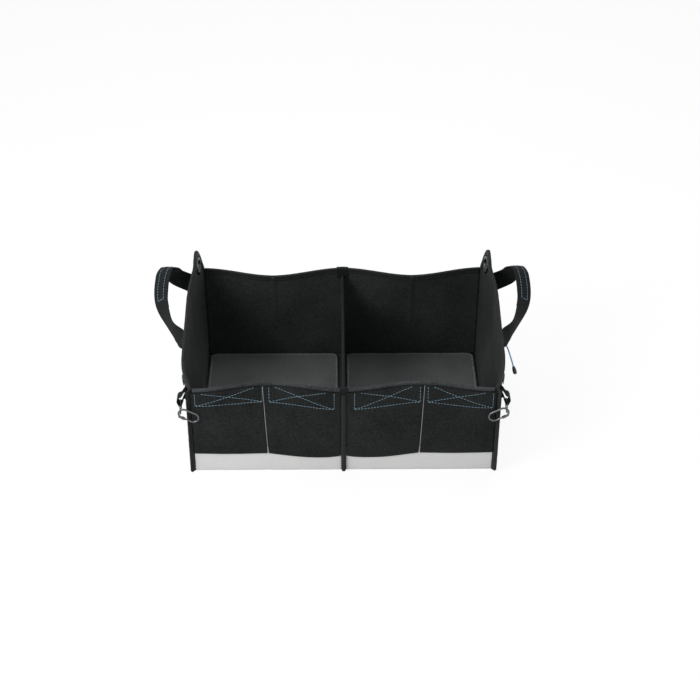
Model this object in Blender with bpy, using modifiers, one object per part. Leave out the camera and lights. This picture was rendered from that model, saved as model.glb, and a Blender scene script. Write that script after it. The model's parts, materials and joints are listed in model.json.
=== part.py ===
# Car storage box: an open fabric boot organiser with two compartments.
# Units are metres. +X is to the right, -Y is the front, +Z is up.
# The origin is the centre of the underside, on the surface the box stands on.

import math

import bmesh
import bpy
from mathutils import Vector

# Overall sizes
BOX_WIDTH = 0.620
BOX_DEPTH = 0.418
FRONT_HEIGHT = 0.2086
BACK_HEIGHT = 0.234
PEAK_HEIGHT = 0.292

# Clearance left between pieces that touch
GAP = 0.0003

# Cloth and board thicknesses
WALL = 0.0035
TRAY_SKIN = 0.0012
POCKET_CLOTH = 0.0012
TAPE = 0.0010
WEBBING = 0.0014

# Shape of the standing walls
TRAY_HEIGHT = 0.060
FRONT_BOW = 0.024
BACK_BOW = 0.0315
SIDE_BULGE = 0.022
SIDE_LEAN_TOP = 0.205
SIDE_FRONT_RAMP = 0.100
SIDE_REAR_RAMP = 0.155
PEAK_FLARE = 0.014
PEAK_FLARE_LENGTH = 0.090
PEAK_RADIUS = 0.031
SHOULDER_BACK = 0.0815
SHOULDER_HEIGHT = 0.268
SIDE_EDGE_POWER = 1.2
PEAK_ARC_START = math.radians(140)

# How finely the walls are divided
WALL_SPANS = 28
WALL_ROWS = 7
SIDE_ROWS = 8
FREE_ROWS = 2
RAMP_SPANS = 8
SLOPE_SPANS = 7
PEAK_SPANS = 9

# Edge tape folded over the tops of the walls
RIM_LEG = 0.010
RIM_ROOM = 0.0004

# Bound seams at the corners and at the middle of the front
CORNER_FIN = 0.0095
CORNER_FIN_THICK = 0.0034
CENTRE_FIN_WIDTH = 0.010
CENTRE_FIN_STAND = 0.007

# Loose base boards
BOARD_THICK = 0.0038
BOARD_CORNER = 0.014
BOARD_SIDE_ROOM = 0.006
BOARD_MIDDLE_ROOM = 0.0105
BOARD_FRONT_ROOM = 0.004
BOARD_BACK_ROOM = 0.0025
BOARD_TAPE_WIDTH = 0.006
BOARD_TAPE_THICK = 0.0048

# Divider that hangs between the middles of the front and back walls
DIVIDER_THICK = 0.003
DIVIDER_HEIGHT = 0.190
TONGUE_DROP = 0.013
DIVIDER_TONGUE_LENGTH = 0.060
DIVIDER_TAPE_LEG = 0.008
BACK_TAB_WIDTH = 0.025
BACK_TAB_LEG = 0.021
FRONT_TAB_WIDTH = 0.016
FRONT_TAB_LEG = 0.030

# Front pockets
POCKET_ROOM = 0.0018
POCKET_FULLNESS = 0.002
POCKET_END_ROOM = 0.0045
POCKET_BOTTOM = 0.0475
OUTER_POCKET_SAG = 0.0015
INNER_POCKET_SAG = 0.0072
INNER_SAG_SKEW = 0.8
CENTRE_DROP = 0.0075
SEAM_CORD_WIDTH = 0.0016
SEAM_OUT = 0.003
CLOSURE_LENGTH = 0.100
CLOSURE_HEIGHT = 0.022
CLOSURE_THICK = 0.0009

# Carrying handles: where they leave the side and how far they reach
HANDLE_WIDTH = 0.038
HANDLE_THICK = 0.0022
GRIP_THICK = 0.003
GRIP_WIDTH = 0.032
GRIP_TILT = math.radians(42)
# Points on the webbing's inner face: distance out from the side, depth and height, then the
# angles in degrees by which its face turns up and back
HANDLE_ROUTE = [
    (0.000, 0.136, 0.170, 0, 0),       # low end of the front seam
    (0.003, 0.168, 0.198, 10, 0),      # top of the front seam
    (0.010, 0.188, 0.206, 28, 11),     # folds out from the side
    (0.034, 0.216, 0.222, -5, -41),    # front leg
    (0.054, 0.262, 0.251, 37, -41),    # front of the grip
    (0.052, 0.315, 0.283, 76, 26),     # rear of the grip
    (0.040, 0.343, 0.281, 107, 54),    # turns over at the top
    (0.030, 0.360, 0.247, 16, 58),     # rear leg
    (0.003, 0.374, 0.213, 4, 26),      # top of the rear seam
    (0.000, 0.370, 0.183, 0, 13),      # low end of the rear seam
]
HANDLE_SEWN = 2        # points of the route at each end that lie on the side panel
HANDLE_SAMPLES = 4
GRIP_SPANS = (3.6, 6.1)

# Hook straps, their rings and the snap hooks
STRAP_WIDTH = 0.020
STRAP_SEAT = 0.016
STRAP_SEWN_LOW = 0.172
STRAP_SEWN_HIGH = 0.190
RING_REACH = 0.0185
RING_BAR_HEIGHT = 0.1600
RING_TALL = 0.0195
RING_WIRE = 0.0013
RING_CENTRE = -0.0035
RING_ROOM = 0.0004
RING_CORNER = 0.0025
HOOK_WIRE = 0.0020
HOOK_LENGTH = 0.046
HOOK_WIDTH = 0.025
HOOK_TILT = math.radians(28)
HOOK_STAND = 0.0102
GATE_WIRE = 0.0017
GATE_PIVOT = 0.0080
LUG_RADIUS = 0.0026
LUG_THICK = 0.0016
CHEEK_THICK = 0.0010
CHEEK_LENGTH = 0.0046
PIN_RADIUS = 0.0008
PIN_ROOM = 0.0002
PIN_HEAD = 0.0014
PIN_HEAD_THICK = 0.0004
GATE_NOSE_ROOM = 0.0007

# Metal eyelets
REAR_EYELET_HOLE = 0.0130
REAR_EYELET_FLANGE = 0.0190
FRONT_EYELET_HOLE = 0.0065
FRONT_EYELET_FLANGE = 0.0115
FRONT_EYELET_DEPTH = 0.060
FRONT_EYELET_DROP = 0.025
EYELET_METAL = 0.0009
EYELET_SEAT = 0.0010

# Zipped pocket on the right side
ZIP_FRONT = 0.183
ZIP_LENGTH = 0.128
ZIP_HEIGHT = 0.184
ZIP_TAPE_WIDTH = 0.020
ZIP_TAPE_THICK = 0.0008
TEETH_HALF = 0.0024
TEETH_RISE = 0.0012
POUCH_FRONT = 0.181
POUCH_LENGTH = 0.150
POUCH_BOTTOM = 0.066
POUCH_FULLNESS = 0.003
SLIDER_LENGTH = 0.0100
SLIDER_WIDTH = 0.0085
SLIDER_THICK = 0.0030
SLIDER_BEVEL = 0.0006
BAIL_WIRE = 0.0009
BAIL_RISE = 0.0032
CORD_RADIUS = 0.0015
CORD_ROUTE = [
    (0.0000, 0.000, 0.000),
    (0.0045, -0.002, -0.002),
    (0.0090, -0.008, -0.009),
    (0.0130, -0.015, -0.019),
    (0.0170, -0.021, -0.030),
    (0.0205, -0.026, -0.041),
]
CORD_SAMPLES = 2
PULL_END_LENGTH = 0.017
PULL_END_RADIUS = 0.0042

# Places worked out from the sizes above
SKIN = TRAY_SKIN + GAP
FLOOR = TRAY_SKIN + GAP
RIM_BUILD = RIM_ROOM + TAPE
HALF_WIDTH = BOX_WIDTH / 2
HALF_DEPTH = BOX_DEPTH / 2
SIDE_X = HALF_WIDTH - SKIN
INNER_X = SIDE_X - WALL
WALL_END = INNER_X - GAP
RIM_END = WALL_END - RIM_BUILD
RIM_START = SKIN + WALL + RIM_BUILD + GAP
HALF_MIDDLE = HALF_WIDTH / 2 + SEAM_OUT
FRONT_TOP = FRONT_HEIGHT - RIM_BUILD
BACK_TOP = BACK_HEIGHT - RIM_BUILD
DIVIDER_TONGUE_HEIGHT = BACK_HEIGHT - TONGUE_DROP
SIDE_FRONT = SKIN
SIDE_REAR = BOX_DEPTH - SKIN
PEAK_DEPTH = SIDE_REAR - PEAK_RADIUS
PEAK_CENTRE = PEAK_HEIGHT - RIM_BUILD - PEAK_RADIUS
SHOULDER_DEPTH = SIDE_REAR - SHOULDER_BACK
POCKET_TOP = FRONT_TOP - RIM_LEG - 2 * GAP
SIDES = (("left", -1), ("right", 1))


def start_scene():
    for old in list(bpy.data.objects):
        bpy.data.objects.remove(old, do_unlink=True)
    parts = bpy.data.collections.new("car_storage_box")
    tools = bpy.data.collections.new("cutters")
    for group in (parts, tools):
        bpy.context.scene.collection.children.link(group)
    return parts, tools


PARTS, TOOLS = start_scene()


def make_material(name, colour, roughness, metallic=0.0):
    material = bpy.data.materials.new(name)
    material.use_nodes = True
    shader = material.node_tree.nodes["Principled BSDF"]
    shader.inputs["Base Color"].default_value = (*colour, 1.0)
    shader.inputs["Roughness"].default_value = roughness
    shader.inputs["Metallic"].default_value = metallic
    return material


LINING = make_material("lining_cloth", (0.012, 0.013, 0.013), 0.80)
PACK_CLOTH = make_material("pack_cloth", (0.011, 0.011, 0.012), 0.75)
TARPAULIN = make_material("tarpaulin", (0.55, 0.55, 0.55), 0.45)
BOARD_CLOTH = make_material("board_cloth", (0.035, 0.037, 0.037), 0.85)
EDGE_TAPE = make_material("edge_tape", (0.014, 0.015, 0.015), 0.65)
STRAP_WEB = make_material("strap_webbing", (0.010, 0.010, 0.011), 0.70)
SEAM_CORD = make_material("seam_cord", (0.35, 0.35, 0.33), 0.60)
HOOK_LOOP = make_material("hook_and_loop", (0.008, 0.008, 0.008), 0.95)
HOOK_STEEL = make_material("hook_steel", (0.30, 0.31, 0.32), 0.30, 1.0)
EYELET_STEEL = make_material("eyelet_steel", (0.22, 0.22, 0.23), 0.35, 1.0)
ZIP_METAL = make_material("zip_metal", (0.05, 0.05, 0.055), 0.40, 1.0)
PULL_CORD = make_material("pull_cord", (0.10, 0.28, 0.52), 0.70)
PULL_PLASTIC = make_material("pull_plastic", (0.010, 0.010, 0.010), 0.40)


def clamp(value):
    return max(0.0, min(1.0, value))


def back_from_front(depth):
    return depth - HALF_DEPTH


# Standing walls, as a depth or a half width for each point

def wall_rise(z):
    return clamp((z - TRAY_HEIGHT) / (FRONT_TOP - TRAY_HEIGHT)) ** 1.3


def back_rise(z):
    return clamp((z - TRAY_HEIGHT) / (BACK_TOP - TRAY_HEIGHT)) ** 1.3


def half_place(x):
    return clamp(abs(x) / WALL_END)


def front_y(x, z):
    soft = math.sin(math.pi * half_place(x)) ** 2
    return SKIN - HALF_DEPTH + FRONT_BOW * soft * wall_rise(z)


def back_y(x, z):
    place = half_place(x)
    soft = math.sin(math.pi * place) ** 2
    crease = 1 - abs(2 * place - 1)
    return HALF_DEPTH - SKIN - BACK_BOW * (0.8 * soft + 0.2 * crease) * back_rise(z)


def side_x(y, z):
    from_front = y + HALF_DEPTH - SIDE_FRONT
    from_rear = SIDE_REAR - HALF_DEPTH - y
    ramp = math.sin(math.pi / 2 * clamp(from_front / SIDE_FRONT_RAMP))
    ramp *= math.sin(math.pi / 2 * clamp(from_rear / SIDE_REAR_RAMP))
    lean = math.sin(math.pi / 2 * clamp((z - TRAY_HEIGHT) / (SIDE_LEAN_TOP - TRAY_HEIGHT)))
    # Above the back wall the corner stands free and leans out
    free = clamp((z - BACK_TOP) / (PEAK_HEIGHT - BACK_TOP))
    free *= clamp(1 - from_rear / PEAK_FLARE_LENGTH) ** 2
    return SIDE_X + SIDE_BULGE * ramp * lean + PEAK_FLARE * free


STEP = 0.0005


def on_front(x, z, off=0.0):
    slope_x = (front_y(x + STEP, z) - front_y(x - STEP, z)) / (2 * STEP)
    slope_z = (front_y(x, z + STEP) - front_y(x, z - STEP)) / (2 * STEP)
    return Vector((x, front_y(x, z), z)) + off * Vector((slope_x, -1, slope_z)).normalized()


def on_back(x, z, off=0.0):
    slope_x = (back_y(x + STEP, z) - back_y(x - STEP, z)) / (2 * STEP)
    slope_z = (back_y(x, z + STEP) - back_y(x, z - STEP)) / (2 * STEP)
    return Vector((x, back_y(x, z), z)) + off * Vector((-slope_x, 1, -slope_z)).normalized()


def side_normal(side, y, z):
    slope_y = (side_x(y + STEP, z) - side_x(y - STEP, z)) / (2 * STEP)
    slope_z = (side_x(y, z + STEP) - side_x(y, z - STEP)) / (2 * STEP)
    return Vector((side, -slope_y, -slope_z)).normalized()


def on_side(side, y, z, off=0.0):
    return Vector((side * side_x(y, z), y, z)) + off * side_normal(side, y, z)


# Building helpers

def add_object(name, data, material, group=None):
    item = bpy.data.objects.new(name, data)
    (group or PARTS).objects.link(item)
    if material:
        data.materials.append(material)
    return item


def hide_tool(item):
    item.hide_render = True
    item.display_type = "WIRE"
    return item


def finish_mesh(name, bm, material, group=None):
    bmesh.ops.recalc_face_normals(bm, faces=bm.faces)
    mesh = bpy.data.meshes.new(name)
    bm.to_mesh(mesh)
    bm.free()
    return add_object(name, mesh, material, group)


def sheet(name, point, across, up, thickness, outward, material, grow=-1):
    # A grid laid on a curved surface and thickened to one side of it
    bm = bmesh.new()
    bmesh.ops.create_grid(bm, x_segments=across, y_segments=up, size=0.5)
    for vert in bm.verts:
        u = round((vert.co.x + 0.5) * across) / across
        v = round((vert.co.y + 0.5) * up) / up
        vert.co = point(u, v)
    bm.normal_update()
    bm.faces.ensure_lookup_table()
    middle = bm.faces[(up // 2) * across + across // 2]
    if middle.normal.dot(Vector(outward)) < 0:
        bmesh.ops.reverse_faces(bm, faces=bm.faces)
    mesh = bpy.data.meshes.new(name)
    bm.to_mesh(mesh)
    bm.free()
    mesh.shade_smooth()
    item = add_object(name, mesh, material)
    solid = item.modifiers.new("thickness", "SOLIDIFY")
    solid.thickness = thickness
    solid.offset = grow
    solid.use_even_offset = True
    return item


def block(name, size, centre, material, bevel=0.0, turn=0.0, group=None):
    bm = bmesh.new()
    bmesh.ops.create_cube(bm, size=1.0)
    bmesh.ops.scale(bm, vec=Vector(size), verts=bm.verts)
    item = finish_mesh(name, bm, material, group)
    item.location = centre
    item.rotation_euler = (0, 0, turn)
    if bevel:
        rounding = item.modifiers.new("rounding", "BEVEL")
        rounding.width = bevel
        rounding.segments = 2
    return item


def cylinder(name, radius, length, material, group=None, segments=16):
    bm = bmesh.new()
    bmesh.ops.create_cone(bm, cap_ends=True, segments=segments, radius1=radius,
                          radius2=radius, depth=length)
    return finish_mesh(name, bm, material, group)


def flat_outline(name, loops, thickness, material):
    # Closed outlines in the XY plane, filled and given a thickness along Z
    curve = bpy.data.curves.new(name, "CURVE")
    curve.dimensions = "2D"
    curve.fill_mode = "BOTH"
    curve.extrude = thickness / 2
    for loop in loops:
        spline = curve.splines.new("POLY")
        spline.points.add(len(loop) - 1)
        for place, (x, y) in zip(spline.points, loop):
            place.co = (x, y, 0, 1)
        spline.use_cyclic_u = True
    return add_object(name, curve, material)


def wire(name, points, radius, material, closed=False):
    curve = bpy.data.curves.new(name, "CURVE")
    curve.dimensions = "3D"
    curve.bevel_depth = radius
    curve.bevel_resolution = 2
    curve.use_fill_caps = True
    spline = curve.splines.new("POLY")
    spline.points.add(len(points) - 1)
    for place, point in zip(spline.points, points):
        place.co = (*point, 1)
    spline.use_cyclic_u = closed
    return add_object(name, curve, material)


def turned(name, profile, material, steps=28, closed=True):
    # A profile of (radius, height) turned about Z, running down its outer side
    bm = bmesh.new()
    verts = [bm.verts.new((radius, 0, height)) for radius, height in profile]
    pairs = zip(verts, verts[1:] + verts[:1]) if closed else zip(verts, verts[1:])
    for first, second in pairs:
        bm.edges.new((first, second))
    mesh = bpy.data.meshes.new(name)
    bm.to_mesh(mesh)
    bm.free()
    item = add_object(name, mesh, material)
    screw = item.modifiers.new("turn", "SCREW")
    screw.steps = steps
    screw.render_steps = steps
    screw.use_merge_vertices = True
    screw.merge_threshold = 0.00001
    return item


def as_mesh(item):
    # A curve turned into a welded mesh, so that it can be cut or joined
    bpy.context.view_layer.update()
    seen = item.evaluated_get(bpy.context.evaluated_depsgraph_get())
    mesh = bpy.data.meshes.new_from_object(seen)
    bm = bmesh.new()
    bm.from_mesh(mesh)
    bmesh.ops.remove_doubles(bm, verts=bm.verts, dist=0.00001)
    bmesh.ops.recalc_face_normals(bm, faces=bm.faces)
    bm.to_mesh(mesh)
    bm.free()
    name = item.name
    place = item.matrix_world.copy()
    bpy.data.objects.remove(item, do_unlink=True)
    mesh.name = name
    solid = bpy.data.objects.new(name, mesh)
    PARTS.objects.link(solid)
    solid.matrix_world = place
    return solid


def use_tool(item, tool, operation):
    if tool.name in PARTS.objects:
        PARTS.objects.unlink(tool)
        TOOLS.objects.link(tool)
    hide_tool(tool)
    step = item.modifiers.new(operation.lower() + "_" + tool.name, "BOOLEAN")
    step.operation = operation
    step.object = tool
    step.solver = "EXACT"


def smooth_path(points, samples):
    # Catmull-Rom curve through points, with samples steps for each span
    ends = [points[0] * 2 - points[1]] + list(points) + [points[-1] * 2 - points[-2]]
    path = []
    for i in range(1, len(ends) - 2):
        before, start, stop, after = ends[i - 1:i + 3]
        for k in range(samples):
            t = k / samples
            path.append(0.5 * (2 * start + (stop - before) * t
                               + (2 * before - 5 * start + 4 * stop - after) * t * t
                               + (3 * start - before - 3 * stop + after) * t ** 3))
    path.append(points[-1].copy())
    return path


def rounded_box(x0, x1, y0, y1, radius, steps=5):
    corners = ((x1 - radius, y1 - radius, 0), (x0 + radius, y1 - radius, 1),
               (x0 + radius, y0 + radius, 2), (x1 - radius, y0 + radius, 3))
    outline = []
    for cx, cy, quarter in corners:
        for k in range(steps + 1):
            angle = math.pi / 2 * (quarter + k / steps)
            outline.append((cx + radius * math.cos(angle), cy + radius * math.sin(angle)))
    return outline


# Base and walls

def build_tray():
    bm = bmesh.new()
    bmesh.ops.create_cube(bm, size=1.0)
    bmesh.ops.scale(bm, vec=Vector((BOX_WIDTH, BOX_DEPTH, TRAY_HEIGHT)), verts=bm.verts)
    bmesh.ops.translate(bm, vec=Vector((0, 0, TRAY_HEIGHT / 2)), verts=bm.verts)
    top = [face for face in bm.faces if face.normal.z > 0.5]
    bmesh.ops.delete(bm, geom=top, context="FACES_ONLY")
    mesh = bpy.data.meshes.new("base_tray")
    bm.to_mesh(mesh)
    bm.free()
    tray = add_object("base_tray", mesh, TARPAULIN)
    skin = tray.modifiers.new("thickness", "SOLIDIFY")
    skin.thickness = TRAY_SKIN
    skin.offset = -1
    skin.use_even_offset = True


def row_height(v, up, top):
    # The first row ends at the tray's rim, the others share the rest
    row = round(v * up)
    if row == 0:
        return FLOOR
    return TRAY_HEIGHT + (row - 1) / (up - 1) * (top - TRAY_HEIGHT)


def side_height(v, depth, top):
    # In the free corner a row of the mesh runs level with the back wall's top edge
    row = round(v * SIDE_ROWS)
    above = row - SIDE_ROWS + FREE_ROWS
    if depth < SIDE_REAR - PEAK_FLARE_LENGTH:
        return row_height(v, SIDE_ROWS, top)
    if above > 0:
        return BACK_TOP + above / FREE_ROWS * (top - BACK_TOP)
    return row_height(row / (SIDE_ROWS - FREE_ROWS), SIDE_ROWS - FREE_ROWS, BACK_TOP)


def wall_columns(low, high):
    # Places across a wall where its facets meet, so that what lies on it bends there too
    places = [WALL_END * (2 * k / WALL_SPANS - 1) for k in range(WALL_SPANS + 1)]
    return [low] + [x for x in places if low + STEP < x < high - STEP] + [high]


def on_facets(surface, x, z, off):
    # A point on the flat stretch between two of a wall's columns
    width = 2 * WALL_END / WALL_SPANS
    first = math.floor(x / width) * width
    near, far = surface(first, z, off), surface(first + width, z, off)
    return near.lerp(far, (x - first) / width)


def build_front_and_back():
    columns = wall_columns(-WALL_END, WALL_END)

    def front(u, v):
        return on_front(columns[round(u * WALL_SPANS)], row_height(v, WALL_ROWS, FRONT_TOP))

    def back(u, v):
        return on_back(columns[round(u * WALL_SPANS)], row_height(v, WALL_ROWS, BACK_TOP))

    sheet("front_wall", front, WALL_SPANS, WALL_ROWS, WALL, (0, -1, 0), LINING)
    sheet("back_wall", back, WALL_SPANS, WALL_ROWS, WALL, (0, 1, 0), LINING)


def side_outline():
    # Depth and height of each point along the top edge, front to rear
    ramp_end = SIDE_FRONT + SIDE_FRONT_RAMP
    places = [SIDE_FRONT + SIDE_FRONT_RAMP * k / RAMP_SPANS for k in range(RAMP_SPANS)]
    places += [ramp_end + (SHOULDER_DEPTH - ramp_end) * k / SLOPE_SPANS for k in range(SLOPE_SPANS)]
    edge = []
    for depth in places:
        t = (depth - SIDE_FRONT) / (SHOULDER_DEPTH - SIDE_FRONT)
        edge.append((depth, FRONT_TOP + t ** SIDE_EDGE_POWER * (SHOULDER_HEIGHT - FRONT_TOP)))
    start = Vector((SHOULDER_DEPTH, SHOULDER_HEIGHT))
    stop = Vector((PEAK_DEPTH + PEAK_RADIUS * math.cos(PEAK_ARC_START),
                   PEAK_CENTRE + PEAK_RADIUS * math.sin(PEAK_ARC_START)))
    rise = SIDE_EDGE_POWER * (SHOULDER_HEIGHT - FRONT_TOP) / (SHOULDER_DEPTH - SIDE_FRONT)
    run = stop.x - start.x
    start_pull = Vector((1, rise)) * run
    stop_pull = Vector((1, -1 / math.tan(PEAK_ARC_START))) * run
    for k in range(3):
        t = k / 3
        place = (start * (2 * t ** 3 - 3 * t * t + 1) + start_pull * (t ** 3 - 2 * t * t + t)
                 + stop * (3 * t * t - 2 * t ** 3) + stop_pull * (t ** 3 - t * t))
        edge.append((place.x, place.y))
    for k in range(PEAK_SPANS + 1):
        angle = PEAK_ARC_START * (1 - k / PEAK_SPANS)
        edge.append((PEAK_DEPTH + PEAK_RADIUS * math.cos(angle),
                     PEAK_CENTRE + PEAK_RADIUS * math.sin(angle)))
    return edge


SIDE_EDGE = side_outline()


def side_top(depth):
    for (d0, z0), (d1, z1) in zip(SIDE_EDGE, SIDE_EDGE[1:]):
        if d0 <= depth <= d1:
            return z0 + (z1 - z0) * (depth - d0) / max(d1 - d0, STEP)
    return SIDE_EDGE[0][1] if depth < SIDE_EDGE[0][0] else SIDE_EDGE[-1][1]


def build_sides():
    spans = len(SIDE_EDGE) - 1

    for label, side in SIDES:
        def panel(u, v, side=side):
            depth, top = SIDE_EDGE[round(u * spans)]
            return on_side(side, back_from_front(depth), side_height(v, depth, top))

        item = sheet(label + "_side", panel, spans, SIDE_ROWS, WALL, (side, 0, 0), LINING)
        for place, hole in (("rear", REAR_EYELET_HOLE), ("front", FRONT_EYELET_HOLE)):
            cutter = cylinder(label + "_" + place + "_hole", hole + EYELET_METAL + GAP,
                              6 * WALL, None, TOOLS, 32)
            stand_on_side(cutter, side, *eyelet_place(place), -WALL / 2)
            use_tool(item, cutter, "DIFFERENCE")


def eyelet_place(place):
    if place == "rear":
        return back_from_front(PEAK_DEPTH), PEAK_CENTRE
    return back_from_front(FRONT_EYELET_DEPTH), side_top(FRONT_EYELET_DEPTH) - FRONT_EYELET_DROP


def stand_on_side(item, side, y, z, off):
    # Puts an object's Z axis along the side panel's normal
    item.location = on_side(side, y, z, off)
    item.rotation_mode = "QUATERNION"
    item.rotation_quaternion = side_normal(side, y, z).to_track_quat("Z", "Y")


def build_eyelets():
    sizes = {"rear": (REAR_EYELET_HOLE, REAR_EYELET_FLANGE),
             "front": (FRONT_EYELET_HOLE, FRONT_EYELET_FLANGE)}
    for label, side in SIDES:
        for place, (hole, flange) in sizes.items():
            barrel = hole + EYELET_METAL
            crown = EYELET_SEAT + 2 * EYELET_METAL
            back = -WALL - EYELET_SEAT - 2 * EYELET_METAL
            eyelet = [(hole, crown - EYELET_METAL / 2), (hole + EYELET_METAL, crown),
                      (flange - EYELET_METAL, crown - EYELET_METAL / 2), (flange, EYELET_SEAT),
                      (barrel, EYELET_SEAT), (barrel, back), (hole, back)]
            inner = barrel + GAP
            washer = [(inner, -WALL - EYELET_SEAT), (flange, -WALL - EYELET_SEAT),
                      (flange - EYELET_METAL, -WALL - EYELET_SEAT - EYELET_METAL),
                      (inner, -WALL - EYELET_SEAT - EYELET_METAL)]
            for name, profile in (("eyelet", eyelet), ("washer", washer)):
                item = turned(label + "_" + place + "_" + name, profile, EYELET_STEEL)
                stand_on_side(item, side, *eyelet_place(place), 0)


# Edge tapes

def folded_section(thick, leg, clearance):
    # Offsets out from the outer face and up from the edge, round a panel's edge
    out = clearance
    back = -thick - clearance
    cut = max(GAP, clearance / 2)
    return [(out, -leg), (out, clearance - cut), (out - cut, clearance),
            (-thick / 2, clearance), (back + cut, clearance),
            (back, clearance - cut), (back, -leg)]


def build_wall_rims():
    section = folded_section(WALL, RIM_LEG, RIM_ROOM)
    columns = wall_columns(-RIM_END, RIM_END)
    spans = len(columns) - 1
    for name, surface, top in (("front_rim", on_front, FRONT_TOP), ("back_rim", on_back, BACK_TOP)):
        def tape(u, v, surface=surface, top=top):
            off, up = section[round(v * 6)]
            return on_facets(surface, columns[round(u * spans)], top + up, off)

        sheet(name, tape, spans, 6, TAPE, (0, 0, 1), EDGE_TAPE, 1)


def edge_frames(edge):
    # For each point of an outline: the point and the direction out of the panel
    frames = []
    for i, (depth, z) in enumerate(edge):
        before = Vector(edge[max(i - 1, 0)])
        after = Vector(edge[min(i + 1, len(edge) - 1)])
        along = (after - before).normalized()
        frames.append((Vector((depth, z)), Vector((-along.y, along.x))))
    return frames


def build_side_rims():
    section = folded_section(WALL, RIM_LEG, RIM_ROOM)
    lowest = BACK_HEIGHT + GAP
    edge = [(RIM_START, side_top(RIM_START))] + SIDE_EDGE[1:]
    edge.append((SIDE_REAR, (PEAK_CENTRE + lowest) / 2))
    edge.append((SIDE_REAR, lowest))
    frames = edge_frames(edge)
    spans = len(frames) - 1
    for label, side in SIDES:
        def tape(u, v, side=side):
            off, up = section[round(v * 6)]
            point, outward = frames[round(u * spans)]
            place = point + outward * up
            return on_side(side, back_from_front(place.x), place.y, off)

        sheet(label + "_rim", tape, spans, 6, TAPE, (0, 0, 1), EDGE_TAPE, 1)


def build_corner_fins():
    reach = (GAP + CORNER_FIN / 2) / math.sqrt(2)
    for end, sign, height in (("front", -1, FRONT_HEIGHT), ("back", 1, BACK_HEIGHT)):
        for label, side in SIDES:
            centre = (side * (HALF_WIDTH + reach), sign * (HALF_DEPTH + reach), height / 2)
            block(end + "_" + label + "_corner_tape", (CORNER_FIN, CORNER_FIN_THICK, height),
                  centre, EDGE_TAPE, CORNER_FIN_THICK * 0.4, side * sign * math.pi / 4)
    stand = CENTRE_FIN_STAND
    block("front_centre_tape", (CENTRE_FIN_WIDTH, stand, POCKET_TOP),
          (0, -HALF_DEPTH - GAP - stand / 2, POCKET_TOP / 2), EDGE_TAPE, stand * 0.35)


# Loose boards on the floor

def build_boards():
    front = back_from_front(SKIN + WALL + BOARD_FRONT_ROOM)
    back = HALF_DEPTH - SKIN - WALL - BOARD_BACK_ROOM
    inset = BOARD_TAPE_WIDTH / 2
    for label, side in SIDES:
        near, far = side * BOARD_MIDDLE_ROOM, side * (INNER_X - BOARD_SIDE_ROOM)
        x0, x1 = min(near, far), max(near, far)
        hole = inset + GAP
        tape = flat_outline(label + "_board_tape", [
            rounded_box(x0, x1, front, back, BOARD_CORNER),
            rounded_box(x0 + hole, x1 - hole, front + hole, back - hole, BOARD_CORNER - hole),
        ], BOARD_TAPE_THICK, EDGE_TAPE)
        tape.location.z = FLOOR + BOARD_TAPE_THICK / 2
        inner = inset + 2 * GAP
        board = flat_outline(label + "_base_board", [
            rounded_box(x0 + inner, x1 - inner, front + inner, back - inner, BOARD_CORNER - inner),
        ], BOARD_THICK, BOARD_CLOTH)
        board.location.z = FLOOR + BOARD_THICK / 2


# Divider and the two tabs that carry it

def divider_outline():
    # Depth and height along the divider's top, front to rear
    front = SKIN + WALL + RIM_BUILD + GAP + WEBBING + GAP
    rear = BOX_DEPTH - front
    rise_start = rear - DIVIDER_TONGUE_LENGTH
    edge = [(front + (rise_start - front) * k / 4, DIVIDER_HEIGHT) for k in range(4)]
    for k in range(7):
        t = k / 6
        lift = (1 - math.cos(math.pi * t)) / 2
        edge.append((rise_start + t * (rear - rise_start),
                     DIVIDER_HEIGHT + lift * (DIVIDER_TONGUE_HEIGHT - DIVIDER_HEIGHT)))
    return edge


def build_divider():
    edge = divider_outline()
    spans = len(edge) - 1

    def panel(u, v):
        depth, top = edge[round(u * spans)]
        return Vector((DIVIDER_THICK / 2, back_from_front(depth), FLOOR + v * (top - FLOOR)))

    sheet("divider", panel, spans, 3, DIVIDER_THICK, (1, 0, 0), LINING)
    section = folded_section(DIVIDER_THICK, DIVIDER_TAPE_LEG, GAP)
    frames = edge_frames(edge[:-1])

    def tape(u, v):
        off, up = section[round(v * 6)]
        point, outward = frames[round(u * (spans - 1))]
        place = point + outward * up
        return Vector((DIVIDER_THICK / 2 + off, back_from_front(place.x), place.y))

    sheet("divider_tape", tape, spans - 1, 6, TAPE, (0, 0, 1), EDGE_TAPE, 1)


def build_tabs():
    for name, surface, top, width, leg in (
            ("divider_back_tab", on_back, BACK_TOP, BACK_TAB_WIDTH, BACK_TAB_LEG),
            ("divider_front_tab", on_front, FRONT_TOP, FRONT_TAB_WIDTH, FRONT_TAB_LEG)):
        section = folded_section(WALL, leg, RIM_BUILD + GAP)
        section[0] = (section[0][0], -RIM_LEG - GAP)

        def tab(u, v, surface=surface, top=top, width=width, section=section):
            off, up = section[round(v * 6)]
            return on_facets(surface, (u - 0.5) * width, top + up, off)

        sheet(name, tab, 4, 6, WEBBING, (0, 0, 1), STRAP_WEB, 1)


# Front pockets

POCKET_NAMES = ("front_pocket_1", "front_pocket_2", "front_pocket_3", "front_pocket_4")


def pocket_span(index):
    # Left and right ends of a pocket, counted from the left
    outer = WALL_END - POCKET_END_ROOM
    inner = CENTRE_FIN_WIDTH / 2 + 2 * GAP
    seam = SEAM_CORD_WIDTH / 2 + 2 * GAP
    ends = [(-outer, -HALF_MIDDLE - seam), (-HALF_MIDDLE + seam, -inner),
            (inner, HALF_MIDDLE - seam), (HALF_MIDDLE + seam, outer)]
    return ends[index]


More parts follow.
